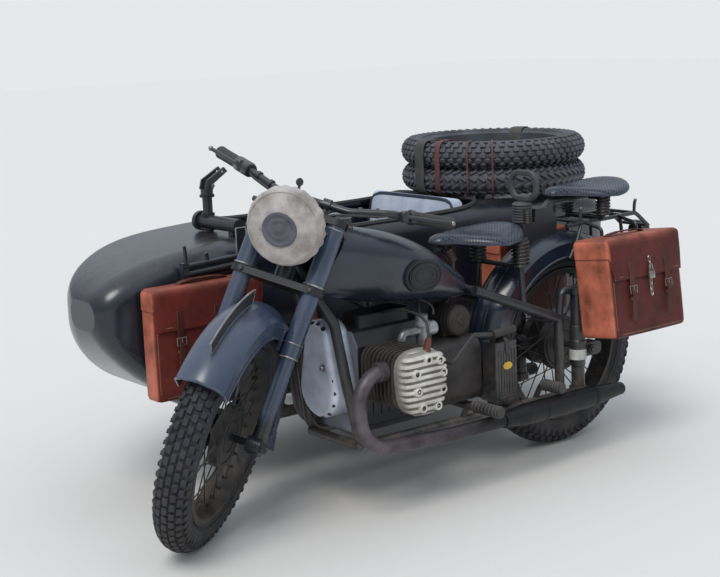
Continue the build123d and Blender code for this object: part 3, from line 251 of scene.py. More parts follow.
def finish(name, colour, rough, metal=0.0, second=None, cloud=7.0, dust=0.35, chips=None, chip_from=0.69,
           grain=240.0, relief=0.08, coat=0.0):
    """A worn finish: its colour clouded by a second one, chips of what lies under it, and dust."""
    material = bpy.data.materials.new(name)
    material.use_nodes = True
    tree = material.node_tree
    shader = tree.nodes["Principled BSDF"]
    spot = spot_in(tree)
    clouds = noise(tree, spot, cloud, 8.0, 0.62)
    first = shade(*colour)
    other = shade(*second) if second else tuple(c * 0.6 for c in first[:3]) + (1,)
    look = mixed(tree, ranged(tree, clouds, 0.36, 0.66), first, other)
    if chips:
        flakes = noise(tree, spot, 55.0, 7.0, 0.7)
        look = mixed(tree, ranged(tree, flakes, chip_from, chip_from + 0.03), look, shade(*chips))
    rough_here = ranged(tree, clouds, 0.3, 0.7, rough - 0.06, rough + 0.06)
    if dust:
        flat = ranged(tree, facing_in(tree)[2], 0.35, 1.0, 0.0, 0.45)
        lying = worked(tree, "ADD", flat, ranged(tree, axes(tree, spot)[2], 0.55, 0.03))
        fine = noise(tree, spot, 22.0, 9.0, 0.7)
        share = worked(tree, "MULTIPLY", worked(tree, "MULTIPLY", lying, ranged(tree, fine, 0.38, 0.68)), dust)
        look = mixed(tree, share, look, shade(146, 130, 110))
        rough_here = worked(tree, "ADD", rough_here, worked(tree, "MULTIPLY", share, 0.4))
    tree.links.new(look, shader.inputs["Base Color"])
    tree.links.new(rough_here, shader.inputs["Roughness"])
    shader.inputs["Metallic"].default_value = metal
    shader.inputs["Coat Weight"].default_value = coat
    shader.inputs["Coat Roughness"].default_value = 0.25
    embossed(material, relief, noise(tree, spot, grain, 3.0))
    return material


def embossed(material, strength, height):
    tree = material.node_tree
    bump = node_in(tree, "Bump", {"Strength": strength, "Distance": 0.002, "Height": height})
    tree.links.new(bump[0], tree.nodes["Principled BSDF"].inputs["Normal"])


# the tread's curve: how far out its middle lies, and its radius
TREAD_AT, TREAD_CURVE = 293, 43.5


def tyre(rows, pitches, zigzag=False):
    """A tyre about Z. A row of blocks has its angle round the tread's curve, its length and breadth."""
    wall = [(244.5, 33), (258.5, 33.5), (270, 44.5), (290, 47), (300, 45.5)]
    outline = [(r, -z) for r, z in wall]
    outline += [(TREAD_AT + TREAD_CURVE * cos(a), TREAD_CURVE * sin(a)) for a in map(radians, range(-70, 71, 10))]
    carcass = turned(outline + wall[::-1] + outline[:1], 96)
    blocks = []
    turn = 2 * pi / pitches
    for count, (angle, along, broad) in enumerate(rows):
        block = cube((0.0125, along, broad))
        bpy.ops.object.mode_set(mode="EDIT")
        bpy.ops.mesh.select_all(action="DESELECT")
        bpy.ops.object.mode_set(mode="OBJECT")
        for face in block.data.polygons:
            face.select = face.normal.x > 0.9
        bpy.ops.object.mode_set(mode="EDIT")
        bpy.ops.transform.resize(value=(1, 0.88, 0.88))
        bpy.ops.object.mode_set(mode="OBJECT")
        applied(block, "BEVEL", width=0.0014, segments=1)
        lean = spun(32 if count % 2 else -32, "X") if zigzag else Matrix()
        stagger = Matrix.Rotation(turn / 2 if count % 2 and not zigzag else 0.0, 4, "Z")
        out = moved(TREAD_AT / 1000, 0, 0) @ spun(-angle, "Y") @ moved((TREAD_CURVE + 2) / 1000, 0, 0)
        blocks.append(settle(block, stagger @ out @ lean))
    for side in (-1, 1):
        lug = cube((0.026, 0.013, 0.006), 0.0015)
        blocks.append(settle(lug, Matrix.Rotation(turn / 4, 4, "Z") @ moved(0.302, 0, side * 0.0452)))
    row = repeated(joined(blocks), pitches, turn)
    # two thin ribs turned on each side wall
    ribs = [settle(hoop(radius, 0.0013, sides=6), moved(0, 0, side * height))
            for radius, height in ((0.279, 0.0459), (0.268, 0.0432)) for side in (1, -1)]
    return joined([carcass, row, *ribs])


TYRE_RUBBER = finish("tyre rubber", (42, 45, 53), 0.70, second=(29, 31, 37), cloud=9, dust=0.2, grain=420, relief=0.12)
SQUARE_ROWS = [(a, 0.0215, 0.0165) if abs(a) == 46 else (a, 0.0245, 0.0160) for a in (-46, -23, 0, 23, 46)]
HUBS = {"front": FORK @ moved(HUB_AHEAD, 0, 0), "rear": at(0, 0, 345), "sidecar": at(*SIDECAR_AXLE)}
for where, hub in HUBS.items():
    piece = settle(tyre(SQUARE_ROWS, 66), hub @ spun(-90, "X"))
    handed_over(piece, f"{where}_tyre_tread", f"{where}_roller", TYRE_RUBBER, [f"{where}_tyre"])


# Wire wheels: steel rims painted black, laced with thirty-six wire spokes to a drum hub. The solids
# have the rims, hubs and spokes, and here come the nipples, the rims' rolled edges and the hubs' rings.
def dress(material, *names):
    for name in names:
        for slot in nodes[name].material_slots:
            slot.material = material


RIM_PAINT = finish("black rim paint", (38, 39, 42), 0.5, metal=0.3, second=(48, 47, 47), cloud=16, dust=0.25,
                   chips=(118, 112, 104), chip_from=0.66)
for where, hub in HUBS.items():
    dress(RIM_PAINT, f"{where}_wheel")
    bpy.ops.mesh.primitive_cone_add(vertices=6, radius1=0.0042, radius2=0.003, depth=0.016)
    nipple = settle(bpy.context.object, moved(0.2325, 0, 0.004) @ spun(-90, "Y"))
    bpy.ops.object.duplicate()
    other = settle(bpy.context.object, spun(10, "Z") @ moved(0, 0, -0.008))
    edges = [repeated(joined([nipple, other]), 18, radians(20))]
    edges += [settle(hoop(0.2558, 0.0032), moved(0, 0, height)) for height in (-0.0375, 0.0375)]
    edges += [settle(hoop(radius, 0.0028, 48), moved(0, 0, 0.0345)) for radius in (0.078, 0.046)]
    handed_over(settle(joined(edges), hub @ spun(-90, "X")), f"{where}_rim_edges", f"{where}_roller", RIM_PAINT)

# Slate-blue paint over pressed steel: the mudguards, each with a rolled wire edge, and the rear and
# the sidecar's with two creases along the crown.
SLATE = finish("slate blue paint", (54, 67, 90), 0.28, second=(40, 51, 72), cloud=5, dust=0.25,
               chips=(112, 116, 118), coat=0.5)
DARK_SLATE = finish("dark slate paint", (31, 40, 56), 0.24, second=(22, 29, 43), cloud=4, dust=0.2,
                    chips=(96, 98, 100), chip_from=0.70, coat=0.5)


def rod(points, radius, loop=False, round_off=0):
    """A round wire or tube through the points, its bends rounded off by a curve of that order."""
    curve = bpy.data.curves.new("wire", "CURVE")
    curve.dimensions = "3D"
    curve.bevel_depth = radius
    curve.bevel_resolution = 1
    curve.use_fill_caps = True
    spline = curve.splines.new("NURBS" if round_off else "POLY")
    spline.points.add(len(points) - 1)
    for point, spot in zip(spline.points, points):
        point.co = (*spot, 1)
    spline.use_cyclic_u = loop
    if round_off:
        spline.order_u = round_off
        spline.use_endpoint_u = True
        spline.resolution_u = 6
    wire = bpy.data.objects.new("wire", curve)
    bpy.context.scene.collection.objects.link(wire)
    pick(wire)
    bpy.ops.object.convert(target="MESH")
    return bpy.context.object


def round_y(radius, y, angle):
    return radius * cos(angle), y, radius * sin(angle)


GUARD_R = 0.380


def guard_trim(place, start, arc, half, skirt, creases):
    """The rolled edge all round a mudguard's channel, and the creases pressed along its crown."""
    turns = [radians(start + arc * k / 56) for k in range(57)]
    crown = [(GUARD_R - half / 2, half), (GUARD_R - half * 0.2, half * 0.72), (GUARD_R, 0.0)]
    crown += [(r, -y) for r, y in crown[1::-1]]
    edge = [round_y(skirt, half, a) for a in turns] + [round_y(r, y, turns[-1]) for r, y in crown]
    edge += [round_y(skirt, -half, a) for a in reversed(turns)] + [round_y(r, y, turns[0]) for r, y in reversed(crown)]
    pieces = [rod(edge, 0.0042, loop=True)]
    for y in creases:
        pieces.append(rod([round_y(GUARD_R - 0.0005 - y * y / half * 0.47, y, a) for a in turns], 0.0028))
    return settle(joined(pieces), place)


for where, body, start, arc, half, skirt, creases, paint in (
    ("rear", "outfit", -18, 188, 0.070, 0.300, (0.024, -0.024), DARK_SLATE),
    ("sidecar", "outfit", 12, 160, 0.076, 0.290, (0.026, -0.026), DARK_SLATE),
    ("front", "steering", 16, 156, 0.068, 0.298, (), SLATE),
):
    dress(paint, f"{where}_guard")
    handed_over(guard_trim(HUBS[where], start, arc, half, skirt, creases), f"{where}_guard_edge", body, paint)



# Saddlebags of thick harness leather, sewn as boxes: end panels lighter and more orange than the darker
# fronts, partly the leather's own tones and partly painted light and shade, the tops painted lighter too as
# light from above; a flap that comes over the front, and straps with plain steel buckles. The left pannier
# has a chain and a lock besides.
def leather(name, front, end):
    material = bpy.data.materials.new(name)
    material.use_nodes = True
    tree = material.node_tree
    shader = tree.nodes["Principled BSDF"]
    spot = spot_in(tree)
    clouds = noise(tree, spot, 9.0, 9.0, 0.65)
    side = facing_in(tree)
    # Painted light and shade: faces that look along X (the ends) or up take the end colour, partly the leather's own
    # lighter tone; the rest keep the darker front colour.
    end_tone_and_light = ranged(tree, worked(tree, "ABSOLUTE", side[0], 0.0), 0.45, 0.85)
    tops = ranged(tree, side[2], 0.15, 0.9, 0.0, 0.5)
    base = mixed(tree, worked(tree, "MAXIMUM", end_tone_and_light, tops), shade(*front), shade(*end))
    dark = mixed(tree, ranged(tree, clouds, 0.42, 0.70, 0.0, 0.75), base, shade(54, 26, 22))
    scuffs = ranged(tree, noise(tree, spot, 70.0, 8.0, 0.72), 0.62, 0.72, 0.0, 0.4)
    look = mixed(tree, scuffs, dark, shade(176, 108, 78))
    tree.links.new(look, shader.inputs["Base Color"])
    tree.links.new(ranged(tree, clouds, 0.3, 0.7, 0.40, 0.62), shader.inputs["Roughness"])
    shader.inputs["Specular IOR Level"].default_value = 0.28
    grains = worked(tree, "MULTIPLY", node_in(tree, "TexVoronoi", {"Vector": spot, "Scale": 420.0})[0], 0.6)
    embossed(material, 0.22, worked(tree, "ADD", grains, worked(tree, "MULTIPLY", clouds, 1.2)))
    return material


LEATHER = leather("saddle leather", (84, 34, 30), (206, 118, 92))
# The sidecar bag's leather has its fronts painted lighter than the panniers', painted light against the front guard's
# shadow, and its ends a little darker.
BAG_LEATHER_LIT_FRONTS = leather("bag leather with lit fronts", (108, 43, 37), (186, 106, 82))
STRAP = leather("strap leather", (74, 42, 34), (112, 66, 46))
STEEL = finish("plain steel", (176, 174, 168), 0.32, metal=0.85, second=(120, 116, 108), cloud=30, dust=0.2)
THREAD = finish("waxed thread", (214, 176, 132), 0.7, dust=0.0)


def softened_box(long, deep, tall, radius, cuts=22, bulge=0.006):
    """A box with its foot at the origin, rounded along its edges, whose faces swell a little."""
    box = settle(cube((long, deep, tall)), moved(0, deep / 2, tall / 2))
    bpy.ops.object.mode_set(mode="EDIT")
    bpy.ops.mesh.select_all(action="SELECT")
    bpy.ops.mesh.subdivide(number_cuts=cuts)
    bpy.ops.object.mode_set(mode="OBJECT")
    for vertex in box.data.vertices:
        p = vertex.co
        inner = Vector((max(-long / 2 + radius, min(long / 2 - radius, p.x)), max(radius, min(deep - radius, p.y)),
                        max(radius, min(tall - radius, p.z))))
        away = p - inner
        if away.length > 1e-6:
            vertex.co = inner + away.normalized() * radius
        u, v, w = p.x / (long / 2), p.z / tall * 2 - 1, p.y / deep * 2 - 1
        vertex.co.y += bulge * (1 - u * u) * (1 - v * v) * (1 if w > 0.5 else 0)
        vertex.co.x += bulge * 0.5 * copysign(1, u) * (1 - w * w) * (1 - v * v) * (1 if abs(u) > 0.9 else 0)
        vertex.co.z -= bulge * 0.5 * (1 - u * u) * (1 - w * w) * (1 if v < -0.9 else 0)
    return box


def cut_away(piece, place, facing):
    """Saws off what lies on the side that facing points to."""
    pick(piece)
    bpy.ops.object.mode_set(mode="EDIT")
    bpy.ops.mesh.select_all(action="SELECT")
    bpy.ops.mesh.bisect(plane_co=place, plane_no=facing, clear_outer=True)
    bpy.ops.object.mode_set(mode="OBJECT")


def stitches(start, end, pitch=0.0075):
    """A row of thread, each stitch a small bead half sunk in the leather."""
    start, run = Vector(start), Vector(end) - Vector(start)
    bpy.ops.mesh.primitive_ico_sphere_add(subdivisions=1, radius=1)
    bead = bpy.context.object
    bead.scale = (0.0024, 0.0008, 0.0008)
    settle(bead)
    settle(bead, Matrix.Translation(start) @ run.to_track_quat("X", "Z").to_matrix().to_4x4())
    count = max(2, int(run.length / pitch))
    return applied(bead, "ARRAY", count=count, use_relative_offset=False, use_constant_offset=True,
                   constant_offset_displace=tuple(run / count))


def ribbon(points, broad, thick, across):
    """A flat strap through the points, its breadth along across."""
    bpy.ops.mesh.primitive_grid_add(x_subdivisions=len(points) - 1, y_subdivisions=2, size=1)
    strap = bpy.context.object
    order = sorted({round(v.co.x, 4) for v in strap.data.vertices})
    for vertex in strap.data.vertices:
        step = order.index(round(vertex.co.x, 4))
        vertex.co = Vector(points[min(step, len(points) - 1)]) + Vector(across) * (vertex.co.y * broad)
    applied(strap, "SOLIDIFY", thickness=thick, offset=0.0)
    return applied(strap, "BEVEL", width=thick * 0.25, segments=1)


def buckle(x, y, z, half=0.0155, rise=0.011):
    """A square wire buckle with its tongue, standing on the bag's front."""
    frame_line = [(x - half, y, z - rise), (x + half, y, z - rise), (x + half, y, z + rise), (x - half, y, z + rise)]
    tongue = [(x, y + 0.0015, z + rise), (x, y + 0.0035, z), (x, y + 0.0015, z - rise)]
    return joined([rod(frame_line, 0.0019, loop=True), rod(tongue, 0.0015)])


def saddlebag(name, place, replaces, long, deep, tall, apron, straps, chain=False, hide=LEATHER):
    body = softened_box(long - 0.004, deep - 0.008, tall - 0.006, 0.014)
    handed_over(settle(body, place), name, "outfit", hide, [replaces], smooth=50)
    # the lid's band round the top, and its apron down the front
    half, hem = long / 2, tall - apron
    lid = softened_box(long + 0.004, deep - 0.001, tall - 0.0005, 0.017)
    cut_away(lid, (0, 0, tall - 0.062), (0, 0, -1))
    front = softened_box(long + 0.004, deep + 0.0005, tall, 0.017)
    cut_away(front, (0, 0, hem), (0, 0, -1))
    cut_away(front, (0, deep - 0.006, 0), (0, -1, 0))
    for side in (-1, 1):
        cut_away(front, (side * (half + 0.001), 0, tall - 0.05), (side, 0, -0.18))
    flap = joined([applied(sheet, "SOLIDIFY", thickness=0.003, offset=-1.0) for sheet in (lid, front)])
    handed_over(settle(flap, place), name + "_flap", "outfit", hide, smooth=50)
    y, sewn = deep + 0.0035, deep - 0.0065
    seams = [stitches((0.03 - half, y - 0.0005, hem + 0.010), (half - 0.03, y - 0.0005, hem + 0.010)),
             stitches((0.03 - half, sewn, 0.012), (half - 0.03, sewn, 0.012))]
    for side in (-1, 1):
        edge, end, lip = side * (half - 0.012), side * (half - 0.0018), side * (half + 0.0022)
        seams.append(stitches((edge, sewn, 0.03), (edge, sewn, hem)))
        seams += [stitches((end, depth, 0.03), (end, depth, tall - 0.075)) for depth in (0.014, deep - 0.024)]
        seams.append(stitches((lip, 0.02, tall - 0.056), (lip, deep - 0.02, tall - 0.056)))
    handed_over(settle(joined(seams), place), name + "_stitching", "outfit", THREAD)
    bands, metal = [], []
    low = hem - 0.035
    for x in straps:
        bands.append(ribbon([(x, y + 0.001, hem + 0.055), (x, y + 0.003, hem + 0.02), (x, y + 0.001, hem - 0.01),
                             (x, y - 0.001, low), (x, y - 0.001, low - 0.03)], 0.021, 0.003, (1, 0, 0)))
        tail = [(x, y + 0.003, low + 0.012), (x + 0.001, y + 0.009, low - 0.015), (x + 0.003, y + 0.006, low - 0.05),
                (x + 0.004, y + 0.004, low - 0.085), (x + 0.004, y + 0.003, low - 0.1)]
        bands.append(ribbon(tail, 0.017, 0.0026, (1, 0, 0)))
        keeper = ((-0.013, 0.001), (-0.012, 0.008), (0.012, 0.008), (0.013, 0.001))
        bands.append(ribbon([(x + step, y + out, low - 0.030) for step, out in keeper], 0.010, 0.002, (0, 0, 1)))
        metal.append(buckle(x, y + 0.004, low))
    # a carrying handle sewn along the top
    arch = ((-0.085, 0.001), (-0.07, 0.006), (-0.03, 0.010), (0.03, 0.010), (0.07, 0.006), (0.085, 0.001))
    bands.append(ribbon([(x, deep * 0.45, tall + lift) for x, lift in arch], 0.022, 0.004, (0, 1, 0)))
    handed_over(settle(joined(bands), place), name + "_straps", "outfit", STRAP)
    if chain:
        for k in range(7):
            link = settle(hoop(0.0085, 0.0019, 16, 6), Matrix.Diagonal((0.7, 1.35, 1, 1)))
            hung = moved(0, y + 0.004, hem + 0.05 - k * 0.0175) @ spun(90, "X")
            metal.append(settle(link, hung @ spun(70 if k % 2 else 10, "Y")))
        metal.append(settle(cube((0.026, 0.012, 0.024), 0.004, 3), moved(0, y + 0.009, hem)))
        shackle = ((-0.008, 0.01), (-0.009, 0.03), (0, 0.038), (0.009, 0.03), (0.008, 0.01))
        metal.append(rod([(x, y + 0.009, hem + z) for x, z in shackle], 0.0022, round_off=3))
    handed_over(settle(joined(metal), place), name + "_buckles", "outfit", STEEL)


def bag_place(x, y, z, tilt, outward):
    t = radians(tilt)
    columns = Matrix(((outward, 0, 0), (0, outward * cos(t), -sin(t)), (0, outward * sin(t), cos(t))))
    return at(x, y, z) @ columns.to_4x4()


saddlebag("left_pannier", bag_place(-88, 192, 398, 7, 1), "panniers", 0.345, 0.160, 0.320, 0.135, (-0.085, 0.085),
          chain=True)
saddlebag("right_pannier", bag_place(-88, -182, 398, -2, -1), "panniers", 0.345, 0.110, 0.300, 0.130, (-0.085, 0.085))
saddlebag("sidecar_bag_leather", bag_place(1202, -331, 356, 0, 1), "sidecar_bag", 0.390, 0.078, 0.338, 0.125,
          (-0.02, 0.11), hide=BAG_LEATHER_LIT_FRONTS)


# What is left of the steelwork and castings, painted or bare. The engine's cover is bright, its blue tint a
# painted reflection of the sky, in front of its dark block; the exhausts darken toward the rear, their front
# bends lighter, partly scorching and partly painted light from above; and the fork's feet are black.
def overlaid(material, share, colour):
    """Lays another colour over a finish by a share from 0 to 1."""
    tree = material.node_tree
    socket = tree.nodes["Principled BSDF"].inputs["Base Color"]
    tree.links.new(mixed(tree, share, socket.links[0].from_socket, colour), socket)


def faded(material, axis, low, high, colour):
    """Lets a finish give way to another colour toward the low end of X (0), Y (1) or Z (2)."""
    tree = material.node_tree
    overlaid(material, ranged(tree, axes(tree, spot_in(tree))[axis], low, high, 1.0, 0.0), shade(*colour))


FRAME_BLACK = finish("black frame enamel", (40, 43, 48), 0.34, second=(28, 31, 36), cloud=6, dust=0.5,
                     chips=(110, 108, 102), coat=0.2)
ALLOY = finish("polished casting", (158, 160, 164), 0.34, metal=0.6, second=(100, 100, 102), cloud=20, dust=0.3,
               grain=160, relief=0.04)
HEAD_ALLOY = finish("chalky cast alloy", (208, 206, 200), 0.6, metal=0.1, second=(168, 162, 152), cloud=18, dust=0.12,
                    grain=300, relief=0.3)
# The gearbox and the block's ribs are cast alloy coloured much darker than the front cover.
DARK_CASTING = finish("dark casting", (66, 64, 66), 0.5, metal=0.35, second=(44, 42, 43), cloud=10, dust=0.3, grain=300,
              relief=0.2)
# Painted reflection: the front cover's pale alloy is tinted blue, standing in for the sky it reflects.
CASE = finish("crankcase casting", (214, 221, 236), 0.34, metal=0.2, second=(170, 176, 190), cloud=9, dust=0.15,
              grain=160, relief=0.04)
faded(CASE, 0, 0.415, 0.435, (38, 38, 41))
FIN_BLACK = finish("black fins", (46, 44, 44), 0.62, metal=0.2, second=(70, 64, 58), cloud=20, grain=300, relief=0.2)
# Painted light: the pipe's front bends keep the lighter colour, partly scorching and partly light from above, and the
# pipe darkens toward the rear.
PIPE = finish("scorched pipe with painted light", (104, 96, 102), 0.46, metal=0.35, second=(58, 53, 57), cloud=12, dust=0.08,
              chips=(84, 70, 64))
faded(PIPE, 0, 0.0, 0.46, (19, 18, 20))
FORK_PAINT = finish("fork paint", (60, 72, 94), 0.24, second=(44, 55, 75), cloud=5, dust=0.2, chips=(112, 116, 118),
                    coat=0.5)
faded(FORK_PAINT, 2, 0.350, 0.385, (24, 25, 29))
RUBBER = finish("black rubber", (40, 40, 42), 0.62, second=(54, 53, 52), cloud=14, dust=0.25, grain=380, relief=0.1)
BODY_BLUE = finish("sidecar paint", (28, 33, 43), 0.27, second=(20, 24, 33), cloud=3, chips=(92, 94, 96),
                   chip_from=0.70, coat=0.35)
YOKE_BLACK = finish("yoke enamel", (16, 17, 20), 0.42, second=(24, 25, 29), cloud=8, dust=0.05)
PAD_RUBBER = finish("moulded pad", (20, 21, 24), 0.4, second=(32, 33, 37), cloud=14, dust=0.05, grain=380, relief=0.1)
dress(FRAME_BLACK, "frame", "plungers", "final_drive", "battery", "saddle_springs", "carrier", "tail_lamp", "chassis",
      "nose_fittings", "pivot_arm", "number_plate", "handlebar")
dress(RUBBER, "driver_saddle", "passenger_saddle", "grab_handle", "footrests", "grips", "lamp_cover")
dress(DARK_SLATE, "tank", "sidecar_seat", "headlamp")
dress(BODY_BLUE, "sidecar_body", "boot_lid")
dress(FIN_BLACK, "cylinders", "air_cleaner")
for material, name in ((CASE, "crankcase"), (HEAD_ALLOY, "cylinder_heads"), (DARK_CASTING, "gearbox"), (ALLOY, "carburettors"),
                       (PIPE, "exhausts"), (PAD_RUBBER, "knee_pads"), (FORK_PAINT, "fork_legs"), (YOKE_BLACK, "yokes"),
                       (TYRE_RUBBER, "spare_tyres")):
    dress(material, name)


# Two spare tyres lie flat on the sidecar's tail, square-blocked over zigzag, under five straps that
# go round both: two broad webs, a red leather one and two thin leather ones.
def squared(turn, power):
    """A point on a square with rounded corners, one unit from its middle to its sides."""
    wide, tall = cos(turn), sin(turn)
    size = (abs(wide) ** power + abs(tall) ** power) ** (-1 / power)
    return wide * size, tall * size


SPARES_X, SPARES_Y = -318, -622
SPARE_RUBBER = finish("dusty tyre rubber", (84, 86, 93), 0.66, second=(58, 60, 66), cloud=9, dust=0.15, grain=420,
                      relief=0.12)
ZIGZAG_ROWS = [(-48, 0.0300, 0.0105), (-17, 0.0330, 0.0115), (17, 0.0330, 0.0115), (48, 0.0300, 0.0105)]
upper = settle(tyre(SQUARE_ROWS, 62), at(SPARES_X, SPARES_Y, 948) @ Matrix.Rotation(0.4, 4, "Z"))
handed_over(upper, "upper_spare_tyre", "outfit", SPARE_RUBBER, ["spare_tyres"])
lower = settle(tyre(ZIGZAG_ROWS, 64, zigzag=True), at(SPARES_X, SPARES_Y, 851))
handed_over(lower, "lower_spare_tyre", "outfit", SPARE_RUBBER, ["spare_tyres"])
WEBBING = finish("dark webbing", (64, 62, 64), 0.85, second=(82, 78, 74), cloud=30, dust=0.3, grain=900, relief=0.5)
RED_STRAP = finish("red leather strap", (108, 66, 58), 0.6, second=(74, 44, 40), cloud=24, dust=0.2, grain=500,
                   relief=0.3)
for name, angle, broad, thick, material in (
    ("broad", 356, 0.050, 0.003, WEBBING), ("red", 11, 0.022, 0.003, RED_STRAP),
    ("thin", 31, 0.007, 0.0026, RED_STRAP), ("thin_rear", 46, 0.007, 0.0026, RED_STRAP),
    ("far", 205, 0.050, 0.003, WEBBING),
):
    a = radians(angle)
    out, along = Vector((cos(a), sin(a), 0)), Vector((-sin(a), cos(a), 0))
    path = []
    for k in range(41):
        wide, tall = squared(2 * pi * k / 40, 4.5)
        pinch = 1 - 0.035 * exp(-(tall / 0.22) ** 2) if wide > 0 else 1
        reach = out * (0.2945 + 0.0535 * wide * pinch)
        path.append(place_on(SPARES_X, SPARES_Y, 899.5) + reach + Vector((0, 0, 0.0995 * tall)))
    handed_over(ribbon(path, broad, thick, along), f"spare_strap_{name}", "outfit", material)


# The headlamp wears a cover of weathered canvas, drawn tight over the rim and tied behind it, with a
# welt near the edge and a round patch of darker rubber in the middle.
def canvas(name, colour, second, mesh=520.0):
    material = finish(name, colour, 0.9, second=second, cloud=14, dust=0.25, relief=0.1, grain=200)
    tree = material.node_tree
    spot = spot_in(tree)
    thread = {"Vector": spot, "Scale": mesh, "Distortion": 0.4}
    warp, weft = (node_in(tree, "TexWave", thread, bands_direction=way)[1] for way in "XZ")
    folds = worked(tree, "MULTIPLY", noise(tree, spot, 26.0, 5.0), 9.0)
    embossed(material, 0.6, worked(tree, "ADD", worked(tree, "ADD", warp, weft), folds))
    tree.nodes["Principled BSDF"].inputs["Sheen Weight"].default_value = 0.3
    return material


def on_fork(x, y, z):
    """A place on the steering in millimetres along the fork's own axes."""
    return FORK @ (Vector((x, y, z)) / 1000)


def circle(radius, height, ripple=0.0):
    turns = [2 * pi * k / 72 for k in range(72)]
    wide = [radius + ripple * sin(k * 1.9) for k in range(72)]
    return [(r * cos(t), r * sin(t), height) for r, t in zip(wide, turns)]


CANVAS = canvas("weathered canvas", (222, 215, 211), (156, 148, 141))
PATCH_RUBBER = finish("patch rubber", (92, 94, 102), 0.7, second=(70, 72, 80), cloud=30, dust=0.15, grain=500,
                      relief=0.3)
CANVAS_THREAD = finish("canvas thread", (196, 187, 176), 0.85, second=(150, 140, 130), dust=0.1)
ahead = (FORK.to_3x3() @ Vector((cos(RAKE), 0, -sin(RAKE)))).normalized()
lamp_across = (FORK.to_3x3() @ Vector((0, 1, 0))).normalized()
lamp_place = Matrix((lamp_across, ahead.cross(lamp_across), ahead)).transposed().to_4x4()
lamp_place.translation = on_fork(190, 0, 583)
face = [(98 * k / 14, 6.5 - 5.3 * (k / 14) ** 2.4) for k in range(15)]
edge = [(104.5, -2.5), (109.5, -8), (112, -16), (112.5, -26), (111.5, -36), (108, -44), (100.5, -48.5), (94.5, -49.5)]
cover = turned(face + edge, 144)
for vertex in cover.data.vertices:
    p = vertex.co
    a, r = atan2(p.y, p.x), hypot(p.x, p.y)
    gather = max(0.0, min(1.0, (-p.z - 0.004) / 0.04))
    swell = 1 + gather * 0.020 * sin(a * 21 + 1.3 * sin(a * 4)) + gather * 0.008 * sin(a * 9 + 2)
    p.x, p.y = p.x * swell, p.y * swell
    flat = min(1, r / 0.04) * min(1, max(0, p.z + 0.004) / 0.004)
    pucker = 0.0011 * sin(a * 34 + 2.2 * sin(a * 5)) * max(0, r / 0.1 - 0.62) * 2.2
    p.z += flat * (0.0010 * sin(p.x * 95 + 1) * sin(p.y * 80) + pucker
                   + 0.0007 * sin(p.x * 210 + 60 * p.y + 2 * sin(p.y * 70)))
applied(cover, "SOLIDIFY", thickness=0.0016, offset=-1.0)
settle(cover, lamp_place)
handed_over(cover, "lamp_canvas", "steering", CANVAS, ["lamp_cover"], smooth=60)
patch = turned([(0, 2.8), (8, 2.8), (9.5, 1.6), (16.5, 1.6), (18, 2.8), (20.5, 2.8), (22, 1.6), (28.5, 1.6),
                (30, 3.2), (33.5, 3.6), (35.5, 2.6), (36.2, 0), (0, 0)], 72)
settle(patch, lamp_place @ moved(-0.007, -0.006, 0.0068) @ Matrix.Diagonal((1.42, 1.36, 1.0, 1.0)))
handed_over(patch, "lamp_cover_patch", "steering", PATCH_RUBBER)
beads = [rod(circle(0.1018, 0.0008), 0.0014, loop=True), rod(circle(0.1045, -0.0465, 0.0015), 0.0024, loop=True)]
handed_over(settle(joined(beads), lamp_place), "lamp_cover_welt", "steering", CANVAS_THREAD)

# The two saddles are moulded rubber over sprung pans: broad and dished at the back, with a turned-down
# edge all round, and pierced all over with small round holes.
SADDLE_RUBBER = finish("pierced saddle rubber", (58, 66, 82), 0.28, second=(41, 47, 60), cloud=8, dust=0.06,
                       relief=0.05)
tree = SADDLE_RUBBER.node_tree
cell = node_in(tree, "VectorMath", {0: spot_in(tree), 1: (1.0, 1.0, 0.0)}, operation="MULTIPLY")[0]
cell = node_in(tree, "Mapping", {"Vector": cell, "Rotation": (0, 0, 0.785), "Scale": (110, 110, 110)})[0]
cell = node_in(tree, "VectorMath", {0: cell}, operation="FRACTION")[0]
cell = node_in(tree, "VectorMath", {0: cell, 1: (0.5, 0.5, 0.0)}, operation="SUBTRACT")[0]
off = node_in(tree, "VectorMath", {0: cell}, operation="LENGTH")["Value"]
hole = worked(tree, "MULTIPLY", ranged(tree, off, 0.34, 0.25), ranged(tree, facing_in(tree)[2], 0.15, 0.4))
overlaid(SADDLE_RUBBER, hole, shade(12, 12, 13))
embossed(SADDLE_RUBBER, 0.9, ranged(tree, hole, 0.0, 1.0, 1.0, 0.0))
# the shell's section, over the top and back: thousandths of its breadth, and mm of height
SADDLE_SHELL = [(0, 0), (200, 0), (400, 0), (550, 0), (680, -1), (780, -3), (860, -6.5), (920, -11), (960, -16.5),
                (985, -22.5), (998, -27.5), (1000, -30.5), (994, -32.5), (985, -31), (972, -25), (940, -18),
                (880, -13), (780, -10.5), (600, -10), (0, -10)]


def sealed(piece):
    """Merges a mesh's doubled points, fills its open ends and turns its faces outwards."""
    pick(piece)
    bpy.ops.object.mode_set(mode="EDIT")
    bpy.ops.mesh.select_all(action="SELECT")
    bpy.ops.mesh.remove_doubles(threshold=0.00002)
    bpy.ops.mesh.fill_holes(sides=0)
    bpy.ops.mesh.select_all(action="SELECT")
    bpy.ops.mesh.normals_make_consistent(inside=False)
    bpy.ops.object.mode_set(mode="OBJECT")
    return piece


